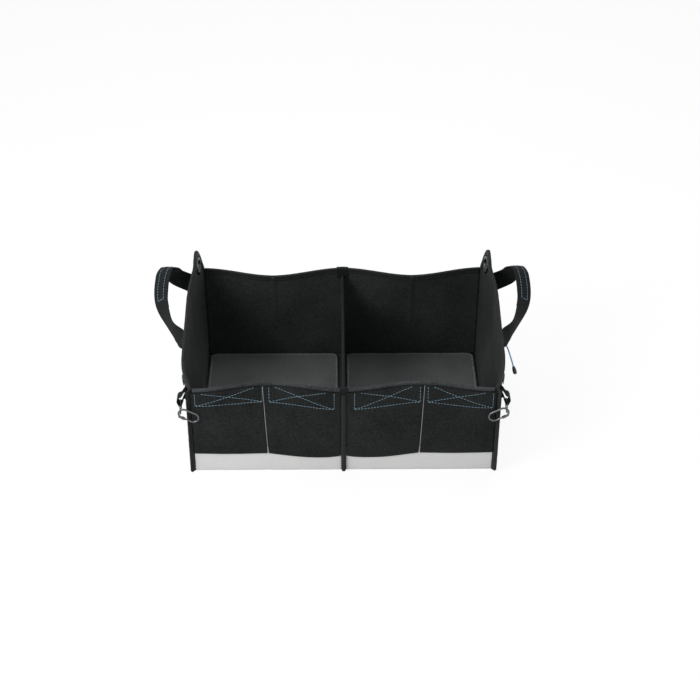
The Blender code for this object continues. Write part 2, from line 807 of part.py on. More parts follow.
def pocket_bottom(index, t):
    if index in (0, 3):
        return POCKET_BOTTOM - OUTER_POCKET_SAG * math.sin(math.pi * t)
    from_centre = 1 - t if index == 1 else t
    sag = INNER_POCKET_SAG * math.sin(math.pi * from_centre ** INNER_SAG_SKEW)
    return POCKET_BOTTOM - sag - CENTRE_DROP * (1 - from_centre)


def pocket_height(low, v):
    # The first of eight rows ends just above the tray's rim
    row = round(v * 8)
    if row == 0:
        return low
    start = TRAY_HEIGHT + TRAY_SKIN
    return start + (row - 1) / 7 * (POCKET_TOP - start)


def build_pockets():
    for index, name in enumerate(POCKET_NAMES):
        left, right = pocket_span(index)
        columns = wall_columns(left, right)

        def cloth(u, v, index=index, columns=columns):
            x = columns[round(u * (len(columns) - 1))]
            t = (x - columns[0]) / (columns[-1] - columns[0])
            low = pocket_bottom(index, t)
            full = POCKET_FULLNESS * math.sin(math.pi * t) * math.sin(math.pi * v)
            return on_facets(on_front, x, pocket_height(low, v), POCKET_ROOM + POCKET_CLOTH + full)

        sheet(name, cloth, len(columns) - 1, 8, POCKET_CLOTH, (0, -1, 0), PACK_CLOTH)
        middle = (left + right) / 2
        columns = wall_columns(middle - CLOSURE_LENGTH / 2, middle + CLOSURE_LENGTH / 2)

        def strip(u, v, columns=columns):
            return on_facets(on_front, columns[round(u * (len(columns) - 1))],
                             POCKET_TOP - GAP - v * CLOSURE_HEIGHT, 2 * GAP + CLOSURE_THICK)

        sheet(f"pocket_closure_{index + 1}", strip, len(columns) - 1, 2, CLOSURE_THICK,
              (0, -1, 0), HOOK_LOOP)
    for label, side in SIDES:
        def cord(u, v, side=side):
            return on_facets(on_front, side * HALF_MIDDLE + (u - 0.5) * SEAM_CORD_WIDTH,
                             pocket_height(POCKET_BOTTOM, v),
                             POCKET_ROOM + POCKET_CLOTH + TAPE)

        sheet(label + "_pocket_seam", cord, 1, 8, POCKET_CLOTH + TAPE, (0, -1, 0), SEAM_CORD)


# Carrying handles

def handle_guides(side):
    points, faces = [], []
    for place, (out, depth, z, up, back) in enumerate(HANDLE_ROUTE):
        up, back = math.radians(up), math.radians(back)
        y = back_from_front(depth)
        sewn = place < HANDLE_SEWN or place >= len(HANDLE_ROUTE) - HANDLE_SEWN
        base = side_x(y, z) if sewn else SIDE_X + SIDE_BULGE
        points.append(Vector((side * (base + out), y, z)))
        faces.append(Vector((side * math.cos(back) * math.cos(up), math.sin(back),
                             math.cos(back) * math.sin(up))))
    return points, faces


def handle_frames(side):
    points, faces = handle_guides(side)
    path = smooth_path(points, HANDLE_SAMPLES)
    looks = smooth_path(faces, HANDLE_SAMPLES)
    frames = []
    for i, place in enumerate(path):
        along = (path[min(i + 1, len(path) - 1)] - path[max(i - 1, 0)]).normalized()
        look = (looks[i] - along * looks[i].dot(along)).normalized()
        frames.append((place, look, look.cross(along).normalized()))
    return frames


def clear_of_side(side, point, room):
    # Keeps webbing outside the side panel that it is sewn to
    y, z = point.y, point.z
    if z > side_top(y + HALF_DEPTH) + RIM_BUILD:
        return point
    least = side_x(y, z) + room
    return Vector((side * max(abs(point.x), least), y, z))


def build_handles():
    for label, side in SIDES:
        frames = handle_frames(side)
        spans = len(frames) - 1

        def strap(u, v, side=side, frames=frames, spans=spans):
            place, _, across = frames[round(u * spans)]
            return clear_of_side(side, place + across * (v - 0.5) * HANDLE_WIDTH, GAP)

        outward = (side * math.sin(GRIP_TILT), 0, math.cos(GRIP_TILT))
        sheet(label + "_handle", strap, spans, 4, HANDLE_THICK, outward, STRAP_WEB, 1)
        first, last = (round(span * HANDLE_SAMPLES) for span in GRIP_SPANS)
        grip_spans = last - first

        def grip(u, v, frames=frames, first=first, grip_spans=grip_spans):
            place, look, across = frames[first + round(u * grip_spans)]
            half = min(abs(v - 0.5) * HANDLE_WIDTH, GRIP_WIDTH / 2)
            return place - look * 3 * GAP + across * math.copysign(half, v - 0.5)

        sheet(label + "_grip", grip, grip_spans, 4, GRIP_THICK, outward, STRAP_WEB)


# Hook straps, rings and snap hooks

def strap_reach():
    return SIDE_X + RING_REACH + RING_WIRE


def hook_strap_path():
    # Distance out from the side panel's base plane and height, round the loop
    bar_x = RING_REACH + RING_WIRE
    bar_z = RING_BAR_HEIGHT + RING_TALL
    eye = RING_WIRE + RING_ROOM
    seat = side_x(back_from_front(STRAP_SEAT), STRAP_SEWN_HIGH) - SIDE_X + GAP + WEBBING
    points = [(seat, STRAP_SEWN_LOW), (seat, STRAP_SEWN_HIGH),
              (bar_x * 0.62, bar_z + 0.0195), (bar_x * 1.07, bar_z + 0.0185),
              (bar_x * 1.25, bar_z + 0.0095)]
    for degrees in (0, -45, -90, -135, -180):
        angle = math.radians(degrees)
        points.append((bar_x + eye * math.cos(angle), bar_z + eye * math.sin(angle)))
    points += [(bar_x * 0.72, bar_z + 0.0055), (seat + 0.0040, STRAP_SEWN_HIGH - 0.0064),
               (seat + 0.0010, STRAP_SEWN_HIGH - 0.0120), (seat + GAP, STRAP_SEWN_LOW)]
    return [Vector((out, 0, z)) for out, z in points]


def build_hook_straps():
    path = smooth_path(hook_strap_path(), 2)
    spans = len(path) - 1
    clear = CORNER_FIN / math.sqrt(2) + CORNER_FIN_THICK + SKIN
    full = RING_REACH - RING_WIRE - 2 * RING_ROOM
    for label, side in SIDES:
        def strap(u, v, side=side):
            place = path[round(u * spans)]
            share = clamp((place.x - clear) / (full - clear))
            middle = STRAP_SEAT * (1 - share) + RING_CENTRE * share
            y = back_from_front(middle + (v - 0.5) * STRAP_WIDTH)
            room = 2 * GAP + WEBBING + (GAP if u > 0.5 else 0)
            return clear_of_side(side, Vector((side * (SIDE_X + place.x), y, place.z)), room)

        sheet(label + "_hook_strap", strap, spans, 2, WEBBING, (side * 0.3, 0, -1), STRAP_WEB, 1)


def build_strap_rings():
    half = STRAP_WIDTH / 2 + RING_ROOM + RING_CORNER
    outline = rounded_box(-half, half, 0, RING_TALL, RING_CORNER, 3)
    for label, side in SIDES:
        ring = wire(label + "_strap_ring", [(x, y, 0) for x, y in outline], RING_WIRE,
                    HOOK_STEEL, closed=True)
        ring.rotation_euler = (math.pi / 2, 0, math.pi / 2)
        ring.location = (side * strap_reach(), back_from_front(RING_CENTRE), RING_BAR_HEIGHT)


def stadium(x0, x1, radius, steps=8):
    outline = []
    for centre, start in ((x1, -math.pi / 2), (x0, math.pi / 2)):
        for k in range(steps + 1):
            angle = start + math.pi * k / steps
            outline.append((centre + radius * math.cos(angle), radius * math.sin(angle)))
    return outline


def hook_sizes():
    # Bend radius, and where the hook's wire passes behind and in front of the ring's bar
    bend = HOOK_WIDTH / 2 - HOOK_WIRE
    behind = RING_WIRE + HOOK_WIRE + RING_ROOM
    front = HOOK_LENGTH - behind - 2 * HOOK_WIRE
    return bend, behind, front


def build_hook(label, side):
    bend, behind, front = hook_sizes()
    rear_centre = bend - behind
    front_centre = front - bend
    nose = front_centre - 0.0006
    path = [(nose, -bend)]
    for k in range(9):
        angle = -math.pi / 2 + math.pi * k / 8
        path.append((front_centre + bend * math.cos(angle), bend * math.sin(angle)))
    lug_start = GATE_PIVOT - LUG_RADIUS - 2 * GAP
    for k in range(9):
        angle = math.pi / 2 + math.pi * k / 8
        place = (rear_centre + bend * math.cos(angle), bend * math.sin(angle))
        if place[1] > -bend * 0.995:
            path.append(place)
    path.append((min(lug_start, rear_centre) - GAP, -bend))
    hook = as_mesh(wire(label + "_snap_hook", [(-side * a, b, 0) for a, b in path], HOOK_WIRE,
                        HOOK_STEEL))
    lug = as_mesh(flat_outline(label + "_lug", [
        [(-side * a, b - bend) for a, b in stadium(lug_start - LUG_RADIUS, GATE_PIVOT, LUG_RADIUS)],
    ], LUG_THICK, HOOK_STEEL))
    hole = cylinder(label + "_lug_hole", PIN_RADIUS + PIN_ROOM, 4 * LUG_THICK, None, TOOLS)
    hole.location = (-side * GATE_PIVOT, -bend, 0)
    use_tool(hook, lug, "UNION")
    use_tool(hook, hole, "DIFFERENCE")
    for tool in (lug, hole):
        tool.parent = hook
    hook.rotation_euler = (math.pi / 2, -side * HOOK_TILT, 0)
    hook.location = (side * strap_reach(), -HALF_DEPTH - HOOK_STAND, RING_BAR_HEIGHT)
    return hook, nose


def build_gate(label, side, hook, nose):
    bend = hook_sizes()[0]
    cheek_start = LUG_RADIUS + 3 * GAP
    tip = nose - GATE_PIVOT - GATE_NOSE_ROOM
    gate = as_mesh(wire(label + "_hook_gate", [(-side * cheek_start, 0, 0), (-side * tip, 0, 0)],
                        GATE_WIRE, HOOK_STEEL))
    middle = LUG_THICK / 2 + GAP + CHEEK_THICK / 2
    for number, sign in enumerate((-1, 1)):
        cheek = as_mesh(flat_outline(f"{label}_cheek_{number}", [
            [(-side * a, b) for a, b in stadium(0, CHEEK_LENGTH, LUG_RADIUS)],
        ], CHEEK_THICK, HOOK_STEEL))
        cheek.location.z = sign * middle
        cheek.parent = gate
        use_tool(gate, cheek, "UNION")
    hole = cylinder(label + "_cheek_hole", PIN_RADIUS + PIN_ROOM, 6 * LUG_THICK, None, TOOLS)
    hole.parent = gate
    use_tool(gate, hole, "DIFFERENCE")
    gate.parent = hook
    gate.location = (-side * GATE_PIVOT, -bend, 0)
    reach = middle + CHEEK_THICK / 2 + GAP
    top = reach + PIN_HEAD_THICK
    profile = [(0, top), (PIN_HEAD, top), (PIN_HEAD, reach), (PIN_RADIUS, reach),
               (PIN_RADIUS, -reach), (PIN_HEAD, -reach), (PIN_HEAD, -top), (0, -top)]
    pin = turned(label + "_gate_pin", profile, HOOK_STEEL, 14, closed=False)
    pin.parent = hook
    pin.location = (-side * GATE_PIVOT, -bend, 0)


def build_hooks():
    for label, side in SIDES:
        hook, nose = build_hook(label, side)
        build_gate(label, side, hook, nose)


# Zipped pocket on the right side

def build_side_pocket():
    front, rear = back_from_front(ZIP_FRONT), back_from_front(ZIP_FRONT + ZIP_LENGTH)
    rows = [(-ZIP_TAPE_WIDTH / 2, 0), (-TEETH_HALF - TEETH_RISE, 0), (-TEETH_HALF, TEETH_RISE),
            (TEETH_HALF, TEETH_RISE), (TEETH_HALF + TEETH_RISE, 0), (ZIP_TAPE_WIDTH / 2, 0)]

    def tape(u, v):
        up, out = rows[round(v * 5)]
        return on_side(1, front + u * (rear - front), ZIP_HEIGHT + up, GAP + out)

    sheet("zip_tape", tape, 6, 5, ZIP_TAPE_THICK, (1, 0, 0), STRAP_WEB, 1)
    low, high = POUCH_BOTTOM, ZIP_HEIGHT - ZIP_TAPE_WIDTH / 2 - 2 * GAP
    start, stop = back_from_front(POUCH_FRONT), back_from_front(POUCH_FRONT + POUCH_LENGTH)

    def pouch(u, v):
        full = POUCH_FULLNESS * (math.sin(math.pi * u) * math.sin(math.pi * v)) ** 0.7
        return on_side(1, start + u * (stop - start), low + v * (high - low),
                       GAP + POCKET_CLOTH + full)

    sheet("side_pocket", pouch, 10, 6, POCKET_CLOTH, (1, 0, 0), PACK_CLOTH)


def slider_place():
    y = back_from_front(ZIP_FRONT + SLIDER_LENGTH)
    return on_side(1, y, ZIP_HEIGHT, GAP + ZIP_TAPE_THICK + GAP)


def build_slider():
    rise = TEETH_RISE + GAP
    height = rise + SLIDER_THICK
    body = block("zip_slider", (height, SLIDER_LENGTH, SLIDER_WIDTH), (0, 0, 0), ZIP_METAL,
                 SLIDER_BEVEL)
    body.location = slider_place()
    for vert in body.data.vertices:
        vert.co.x += height / 2
    room = TEETH_HALF + TEETH_RISE + GAP
    channel = block("slider_channel", (2 * rise, 2 * SLIDER_LENGTH, 2 * room), (0, 0, 0), None,
                    group=TOOLS)
    channel.parent = body
    use_tool(body, channel, "DIFFERENCE")
    top = height - BAIL_WIRE
    span = SLIDER_LENGTH * 0.32
    arch = [(top, -span, 0), (top + BAIL_RISE * 0.8, -span * 0.7, 0), (top + BAIL_RISE, 0, 0),
            (top + BAIL_RISE * 0.8, span * 0.7, 0), (top, span, 0)]
    bail = as_mesh(wire("slider_bail", arch, BAIL_WIRE, ZIP_METAL))
    bail.parent = body
    use_tool(body, bail, "UNION")
    return height + BAIL_RISE


def build_pull(bail_top):
    start = slider_place() + Vector((bail_top + 2 * GAP, 0, 0))
    guides = [start + Vector(step) for step in CORD_ROUTE]
    path = smooth_path(guides, CORD_SAMPLES)
    wire("pull_cord", path, CORD_RADIUS, PULL_CORD)
    along = (path[-1] - path[-2]).normalized()
    radius, length = PULL_END_RADIUS, PULL_END_LENGTH
    profile = [(0, length), (radius * 0.75, length), (radius, length * 0.85),
               (radius, length * 0.45), (radius * 0.75, length * 0.12), (radius * 0.55, 0), (0, 0)]
    end = turned("pull_end", profile, PULL_PLASTIC, 16, closed=False)
    end.location = path[-1] + along * GAP
    end.rotation_mode = "QUATERNION"
    end.rotation_quaternion = along.to_track_quat("Z", "Y")


def main():
    build_tray()
    build_front_and_back()
    build_sides()
    build_eyelets()
    build_wall_rims()
    build_side_rims()
    build_corner_fins()
    build_boards()
    build_divider()
    build_tabs()
    build_pockets()
    build_handles()
    build_hook_straps()
    build_strap_rings()
    build_hooks()
    build_side_pocket()
    build_pull(build_slider())


main()
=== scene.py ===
import json
import math

import bpy
from mathutils import Matrix, Vector, noise

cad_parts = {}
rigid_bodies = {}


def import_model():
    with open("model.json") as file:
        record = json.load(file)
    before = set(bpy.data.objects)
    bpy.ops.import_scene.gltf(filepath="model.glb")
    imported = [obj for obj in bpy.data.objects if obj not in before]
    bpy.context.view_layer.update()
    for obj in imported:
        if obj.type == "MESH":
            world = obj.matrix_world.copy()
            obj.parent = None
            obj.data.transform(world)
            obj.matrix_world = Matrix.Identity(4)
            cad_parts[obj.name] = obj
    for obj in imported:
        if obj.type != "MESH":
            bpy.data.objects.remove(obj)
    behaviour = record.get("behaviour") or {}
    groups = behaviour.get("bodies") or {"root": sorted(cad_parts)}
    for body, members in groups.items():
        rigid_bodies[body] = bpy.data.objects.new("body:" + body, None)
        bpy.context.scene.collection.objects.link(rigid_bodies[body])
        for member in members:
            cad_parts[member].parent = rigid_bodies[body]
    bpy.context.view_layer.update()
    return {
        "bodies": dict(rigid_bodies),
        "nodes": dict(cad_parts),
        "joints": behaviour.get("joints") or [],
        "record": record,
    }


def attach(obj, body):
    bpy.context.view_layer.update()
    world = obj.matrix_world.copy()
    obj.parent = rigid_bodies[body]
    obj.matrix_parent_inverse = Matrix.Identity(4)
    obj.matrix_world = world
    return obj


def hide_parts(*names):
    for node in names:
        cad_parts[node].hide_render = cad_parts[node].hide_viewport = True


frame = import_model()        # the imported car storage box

nodes = frame["nodes"]
sides = (("left", -1), ("right", 1))


# Camera, at the photograph's viewing angle
cameraView = {
    "target": (0.0148, -0.0090, 0.1638),
    "distance": 3.3,
    "pitch": 35.3407,
    "yaw": -0.7627,
    "roll": 0.2101,
    "lens": 79.93,     # millimetres, on a 36 mm sensor
}


def makeCamera():
    data = bpy.data.cameras.new("camera")
    data.lens = cameraView["lens"]
    data.sensor_width = 36
    camera = bpy.data.objects.new("camera", data)
    bpy.context.scene.collection.objects.link(camera)
    turn = math.radians(cameraView["yaw"])
    tilt = math.radians(cameraView["pitch"])
    roll = math.radians(cameraView["roll"])
    back = Vector((math.sin(turn) * math.cos(tilt), -math.cos(turn) * math.cos(tilt), math.sin(tilt)))
    right = Vector((math.cos(turn), math.sin(turn), 0))
    up = back.cross(right)
    rolledRight = right * math.cos(roll) + up * math.sin(roll)
    rolledUp = up * math.cos(roll) - right * math.sin(roll)
    place = Matrix((rolledRight, rolledUp, back)).transposed().to_4x4()
    place.translation = Vector(cameraView["target"]) + back * cameraView["distance"]
    camera.matrix_world = place
    bpy.context.scene.camera = camera


makeCamera()
print("camera placed")


# Colours and nodes

def hexColour(text):
    # an sRGB hex value as the linear colour that the shader takes
    channels = [int(text[i:i + 2], 16) / 255 for i in (1, 3, 5)]
    linear = [c / 12.92 if c <= 0.04045 else ((c + 0.055) / 1.055) ** 2.4 for c in channels]
    return (*linear, 1)


def addNode(tree, kind, settings=None, links=None, **fields):
    # one node with its socket values, its incoming links and its own fields
    node = tree.nodes.new(kind)
    for name, value in fields.items():
        setattr(node, name, value)
    for name, value in (settings or {}).items():
        node.inputs[name].default_value = value
    for name, source in (links or {}).items():
        tree.links.new(source, node.inputs[name])
    return node


def newMaterial(name):
    material = bpy.data.materials.new(name)
    material.use_nodes = True
    tree = material.node_tree
    return material, tree, tree.nodes["Principled BSDF"]


def finishSurface(tree, shader, colour, roughness, bump, **values):
    for socket, source in (("Base Color", colour.outputs["Result"]),
                           ("Roughness", roughness.outputs["Result"]),
                           ("Normal", bump.outputs["Normal"])):
        tree.links.new(source, shader.inputs[socket])
    for socket, value in values.items():
        shader.inputs[socket].default_value = value


def bandScale(spacing):
    # a Wave texture repeats every 0.31416 / scale, so this gives one band each spacing metres
    return 0.31416 / spacing


def clothMaterial(name, look):
    # cloth drawn in its own plane: u and v in metres come from each piece's "cloth" attribute
    material, tree, shader = newMaterial(name)
    cloth = addNode(tree, "ShaderNodeAttribute", attribute_name="cloth", attribute_type="GEOMETRY")
    place = addNode(tree, "ShaderNodeTexCoord")
    warp, weft = (addNode(tree, "ShaderNodeTexWave",
                          {"Scale": bandScale(look[key]), "Distortion": look["slub"], "Detail": 1.0},
                          {"Vector": cloth.outputs["Vector"]}, bands_direction=way)
                  for key, way in (("warp", "X"), ("weft", look["weftWay"])))
    crossing = addNode(tree, "ShaderNodeMix", {"Factor": look["ribShare"]},
                       {"A": warp.outputs["Fac"], "B": weft.outputs["Fac"]}, data_type="FLOAT")
    fuzz = addNode(tree, "ShaderNodeTexNoise",
                   {"Scale": 1 / look["fuzz"], "Detail": 5.0, "Roughness": 0.65},
                   {"Vector": place.outputs["Object"]})
    cloud = addNode(tree, "ShaderNodeTexNoise",
                    {"Scale": 1 / look["cloud"], "Detail": 3.0, "Roughness": 0.55},
                    {"Vector": place.outputs["Object"]})
    mottle = addNode(tree, "ShaderNodeMath", {1: look["fuzzShare"]},
                     {0: fuzz.outputs["Fac"]}, operation="MULTIPLY")
    spread = addNode(tree, "ShaderNodeMath", {1: look["cloudShare"]},
                     {0: cloud.outputs["Fac"], 2: mottle.outputs["Value"]}, operation="MULTIPLY_ADD")
    thread = addNode(tree, "ShaderNodeMath", {1: look["threadShare"]},
                     {0: crossing.outputs["Result"], 2: spread.outputs["Value"]},
                     operation="MULTIPLY_ADD")
    tone = addNode(tree, "ShaderNodeMapRange",
                   {"From Min": look["toneLow"], "From Max": look["toneHigh"]},
                   {"Value": thread.outputs["Value"]})
    colour = addNode(tree, "ShaderNodeMix",
                     {"A": hexColour(look["dark"]), "B": hexColour(look["light"])},
                     {"Factor": tone.outputs["Result"]}, data_type="RGBA")
    roughness = addNode(tree, "ShaderNodeMapRange",
                        {"To Min": look["rough"] + 0.05, "To Max": look["rough"] - 0.05},
                        {"Value": crossing.outputs["Result"]})
    height = addNode(tree, "ShaderNodeMath", {1: look["fuzzBump"]},
                     {0: fuzz.outputs["Fac"], 2: crossing.outputs["Result"]},
                     operation="MULTIPLY_ADD")
    bump = addNode(tree, "ShaderNodeBump", {"Strength": look["bump"], "Distance": look["depth"]},
                   {"Height": height.outputs["Value"]})
    finishSurface(tree, shader, colour, roughness, bump, **{
        "Sheen Weight": look["sheen"], "Sheen Roughness": 0.5, "Specular IOR Level": look["specular"]})
    return material


def clothLook(dark, light, warp, weft, **changes):
    # thread spacings in metres; what each cloth changes from a plain dull weave follows
    plain = {"slub": 0.35, "fuzz": 0.0035, "cloud": 0.09, "fuzzShare": 0.5, "cloudShare": 0.3,
             "threadShare": 0.2, "toneLow": 0.25, "toneHigh": 0.75, "rough": 0.72, "fuzzBump": 0.4,
             "bump": 0.5, "depth": 0.0003, "sheen": 0.08, "specular": 0.35, "ribShare": 0.5,
             "weftWay": "Y"}
    return {"dark": dark, "light": light, "warp": warp, "weft": weft, **plain, **changes}


# Polyester canvas with a polyurethane coat: dull black, finely mottled, threads 1.2 mm apart
liningCloth = clothMaterial("coated_polyester_canvas", clothLook(
    "#0f1111", "#343737", 0.0012, 0.0012, fuzz=0.0045, sheen=0.04, specular=0.12,
    toneLow=0.34, toneHigh=0.66))
# Heavy textured polyester, woven: black with a fuzzy face and faint cloudy wear; also laid on the divider,
# which is of lining cloth, as painted shade
pocketCloth = clothMaterial("woven_pack_polyester", clothLook(
    "#0b0c0c", "#232626", 0.0014, 0.0014, fuzz=0.0044, fuzzShare=0.6, sheen=0.02, specular=0.08,
    toneLow=0.42, toneHigh=0.68))
# Tarpaulin: woven scrim under a pale grey vinyl coat, half matt, the scrim barely printing through
tarpaulin = clothMaterial("vinyl_coated_tarpaulin", clothLook(
    "#b9b9b9", "#cbcbca", 0.0016, 0.0016, rough=0.5, sheen=0.0, bump=0.15, fuzzShare=0.35,
    specular=0.3))
# Needle felt over board: dark grey, hairy, with pale flecks
boardFelt = clothMaterial("needle_felt", clothLook(
    "#393b3b", "#5f6262", 0.0020, 0.0026, fuzz=0.0030, fuzzShare=0.9, threadShare=0.05,
    toneLow=0.35, toneHigh=0.85, rough=0.9, fuzzBump=1.5, bump=0.6, sheen=0.10, specular=0.12))
# Felted tape along the front's top edge: dark grey with pale hairs
feltTape = clothMaterial("felted_edge_tape", clothLook(
    "#0c0d0d", "#5c6062", 0.0013, 0.0040, fuzz=0.0022, ribShare=0.3, fuzzShare=1.0, threadShare=0.15,
    toneLow=0.55, toneHigh=1.05, rough=0.9, fuzzBump=1.6, bump=0.9, depth=0.0005, sheen=0.03,
    specular=0.08))
# The boards' edging, of the same felted tape in a paler grey with pale flecks
boardEdging = clothMaterial("felted_board_edging", clothLook(
    "#2c2f30", "#868a8b", 0.0013, 0.0040, fuzz=0.0024, ribShare=0.3, fuzzShare=1.0, threadShare=0.15,
    toneLow=0.50, toneHigh=1.00, rough=0.9, fuzzBump=1.6, bump=0.9, depth=0.0005, sheen=0.04,
    specular=0.08))
# Grosgrain on the standing seams: black ribs across the tape, 1.3 mm apart
bindingTape = clothMaterial("grosgrain_binding", clothLook(
    "#0d0f0f", "#242727", 0.0013, 0.0040, ribShare=0.15, threadShare=0.45, bump=0.7, rough=0.65,
    depth=0.0004, sheen=0.02, specular=0.11))
# Polypropylene webbing: black, a diagonal twill 2 mm apart; on the divider's top binding it stands in as
# painted shade
webbing = clothMaterial("woven_polypropylene_webbing", clothLook(
    "#080909", "#191b1c", 0.0016, 0.0020, weftWay="DIAGONAL", ribShare=0.6, threadShare=0.5,
    bump=0.8, rough=0.7, depth=0.0005, sheen=0.01, specular=0.09))
# Bonded polyester thread, twisted: blue grey with a soft shine
stitchThread = clothMaterial("bonded_polyester_thread", clothLook(
    "#6f93a8", "#9dbccb", 0.0008, 0.0012, rough=0.5, cloudShare=0.1, bump=0.3))
# The same thread in black, along the bindings
darkThread = clothMaterial("black_polyester_thread", clothLook(
    "#232627", "#3a3e3f", 0.0008, 0.0012, rough=0.5, cloudShare=0.1, bump=0.3))
# Pale cord in the pocket seams: its pale grey is a painted highlight along each seam's fold
seamHighlightCord = clothMaterial("pale_seam_cord_painted_highlight", clothLook(
    "#6d6f6e", "#a3a5a2", 0.0010, 0.0014, fuzz=0.0040, fuzzShare=0.7, rough=0.75, bump=0.4))
# Braided polyester cord: sky blue with a diagonal braid
braidedCord = clothMaterial("braided_polyester_cord", clothLook(
    "#4f84b8", "#7db0da", 0.0016, 0.0016, weftWay="DIAGONAL", ribShare=0.5, threadShare=0.5,
    toneLow=0.2, toneHigh=0.7, rough=0.6, bump=0.6))


def metalMaterial(name, dark, light, rough, marks, metallic):
    # plated or painted metal: fine handling marks in its roughness
    material, tree, shader = newMaterial(name)
    place = addNode(tree, "ShaderNodeTexCoord")
    grain = addNode(tree, "ShaderNodeTexNoise",
                    {"Scale": 1 / marks, "Detail": 6.0, "Roughness": 0.7},
                    {"Vector": place.outputs["Object"]})
    roughness = addNode(tree, "ShaderNodeMapRange",
                        {"To Min": rough - 0.08, "To Max": rough + 0.12},
                        {"Value": grain.outputs["Fac"]})
    colour = addNode(tree, "ShaderNodeMix",
                     {"A": hexColour(dark), "B": hexColour(light)},
                     {"Factor": grain.outputs["Fac"]}, data_type="RGBA")
    bump = addNode(tree, "ShaderNodeBump", {"Strength": 0.08, "Distance": 0.0002},
                   {"Height": grain.outputs["Fac"]})
    finishSurface(tree, shader, colour, roughness, bump, Metallic=metallic)
    return material


# Black nickel-plated steel wire: dark, with bright glints along the bends
hookSteel = metalMaterial("black_nickel_plated_steel", "#3c3e41", "#7d8083",
                          rough=0.24, marks=0.0012, metallic=1.0)
# Pressed steel eyelets with a dark gunmetal plate
eyeletSteel = metalMaterial("gunmetal_plated_steel", "#232527", "#4a4d50",
                            rough=0.30, marks=0.0015, metallic=1.0)
# Die-cast zinc slider, painted black
sliderPaint = metalMaterial("painted_die_cast_zinc", "#151516", "#232324",
                            rough=0.38, marks=0.0010, metallic=0.0)
# Coil zip teeth: black nylon
zipNylon = metalMaterial("nylon_zip_coil", "#141415", "#262627",
                         rough=0.45, marks=0.0010, metallic=0.0)
# Moulded thermoplastic pull end
pullPlastic = metalMaterial("moulded_thermoplastic", "#141415", "#202021",
                            rough=0.42, marks=0.0014, metallic=0.0)
print("materials made")


# The box's own surfaces, with the sizes of the CAD solids
boxForm = {
    "halfWidth": 0.3085,      # out to the side panels' outer face
    "halfDepth": 0.2075,      # out to the front and back walls' outer face
    "wallEnd": 0.3047,
    "wall": 0.0035,
    "floor": 0.0015,
    "trayHeight": 0.060,
    "frontTop": 0.2072,
    "backTop": 0.2326,
    "frontBow": 0.024,
    "backBow": 0.0315,
    "bulge": 0.022,
    "leanTop": 0.205,
    "frontRamp": 0.100,
    "rearRamp": 0.155,
    "flare": 0.014,
    "flareLength": 0.090,
    "peakTop": 0.292,
    "outerDepth": 0.209,
    "tape": 0.0014,
}
peakForm = {
    "radius": 0.031,
    "depth": 0.3855,
    "height": 0.2596,
    "arcStart": math.radians(140),
    "shoulderDepth": 0.335,
    "shoulderHeight": 0.268,
    "power": 1.2,
}


def clamp(value):
    return max(0.0, min(1.0, value))


def rise(z, top):
    return clamp((z - boxForm["trayHeight"]) / (top - boxForm["trayHeight"])) ** 1.3


def frontY(x, z):
    soft = math.sin(math.pi * clamp(abs(x) / boxForm["wallEnd"])) ** 2
    return -boxForm["halfDepth"] + boxForm["frontBow"] * soft * rise(z, boxForm["frontTop"])


def backY(x, z):
    share = clamp(abs(x) / boxForm["wallEnd"])
    soft = math.sin(math.pi * share) ** 2
    crease = 1 - abs(2 * share - 1)
    bow = boxForm["backBow"] * (0.8 * soft + 0.2 * crease)
    return boxForm["halfDepth"] - bow * rise(z, boxForm["backTop"])


def sideX(y, z):
    ramp = math.sin(math.pi / 2 * clamp((y + boxForm["halfDepth"]) / boxForm["frontRamp"]))
    ramp *= math.sin(math.pi / 2 * clamp((boxForm["halfDepth"] - y) / boxForm["rearRamp"]))
    lean = (z - boxForm["trayHeight"]) / (boxForm["leanTop"] - boxForm["trayHeight"])
    # above the back wall the corner stands free and leans out
    free = clamp((z - boxForm["backTop"]) / (boxForm["peakTop"] - boxForm["backTop"]))
    free *= clamp(1 - (boxForm["halfDepth"] - y) / boxForm["flareLength"]) ** 2
    return (boxForm["halfWidth"] + boxForm["bulge"] * ramp * math.sin(math.pi / 2 * clamp(lean))
            + boxForm["flare"] * free)


small = 0.0005     # step for slopes, in metres


def slopes(height, a, b):
    # how fast a surface's height changes along each of its two distances
    return ((height(a + small, b) - height(a - small, b)) / (2 * small),
            (height(a, b + small) - height(a, b - small)) / (2 * small))


def onFront(x, z, off=0.0):
    slopeX, slopeZ = slopes(frontY, x, z)
    return Vector((x, frontY(x, z), z)) + off * Vector((slopeX, -1, slopeZ)).normalized()


def wayOut(surface, *place):
    # the way out of a surface, which takes a distance off itself after its place
    return (surface(*place, 0.001) - surface(*place, 0.0)).normalized()


def onBack(x, z, off=0.0):
    slopeX, slopeZ = slopes(backY, x, z)
    return Vector((x, backY(x, z), z)) + off * Vector((-slopeX, 1, -slopeZ)).normalized()


def sideNormal(side, y, z):
    slopeY, slopeZ = slopes(sideX, y, z)
    return Vector((side, -slopeY, -slopeZ)).normalized()


def onSide(side, y, z, off=0.0):
    return Vector((side * sideX(y, z), y, z)) + off * sideNormal(side, y, z)


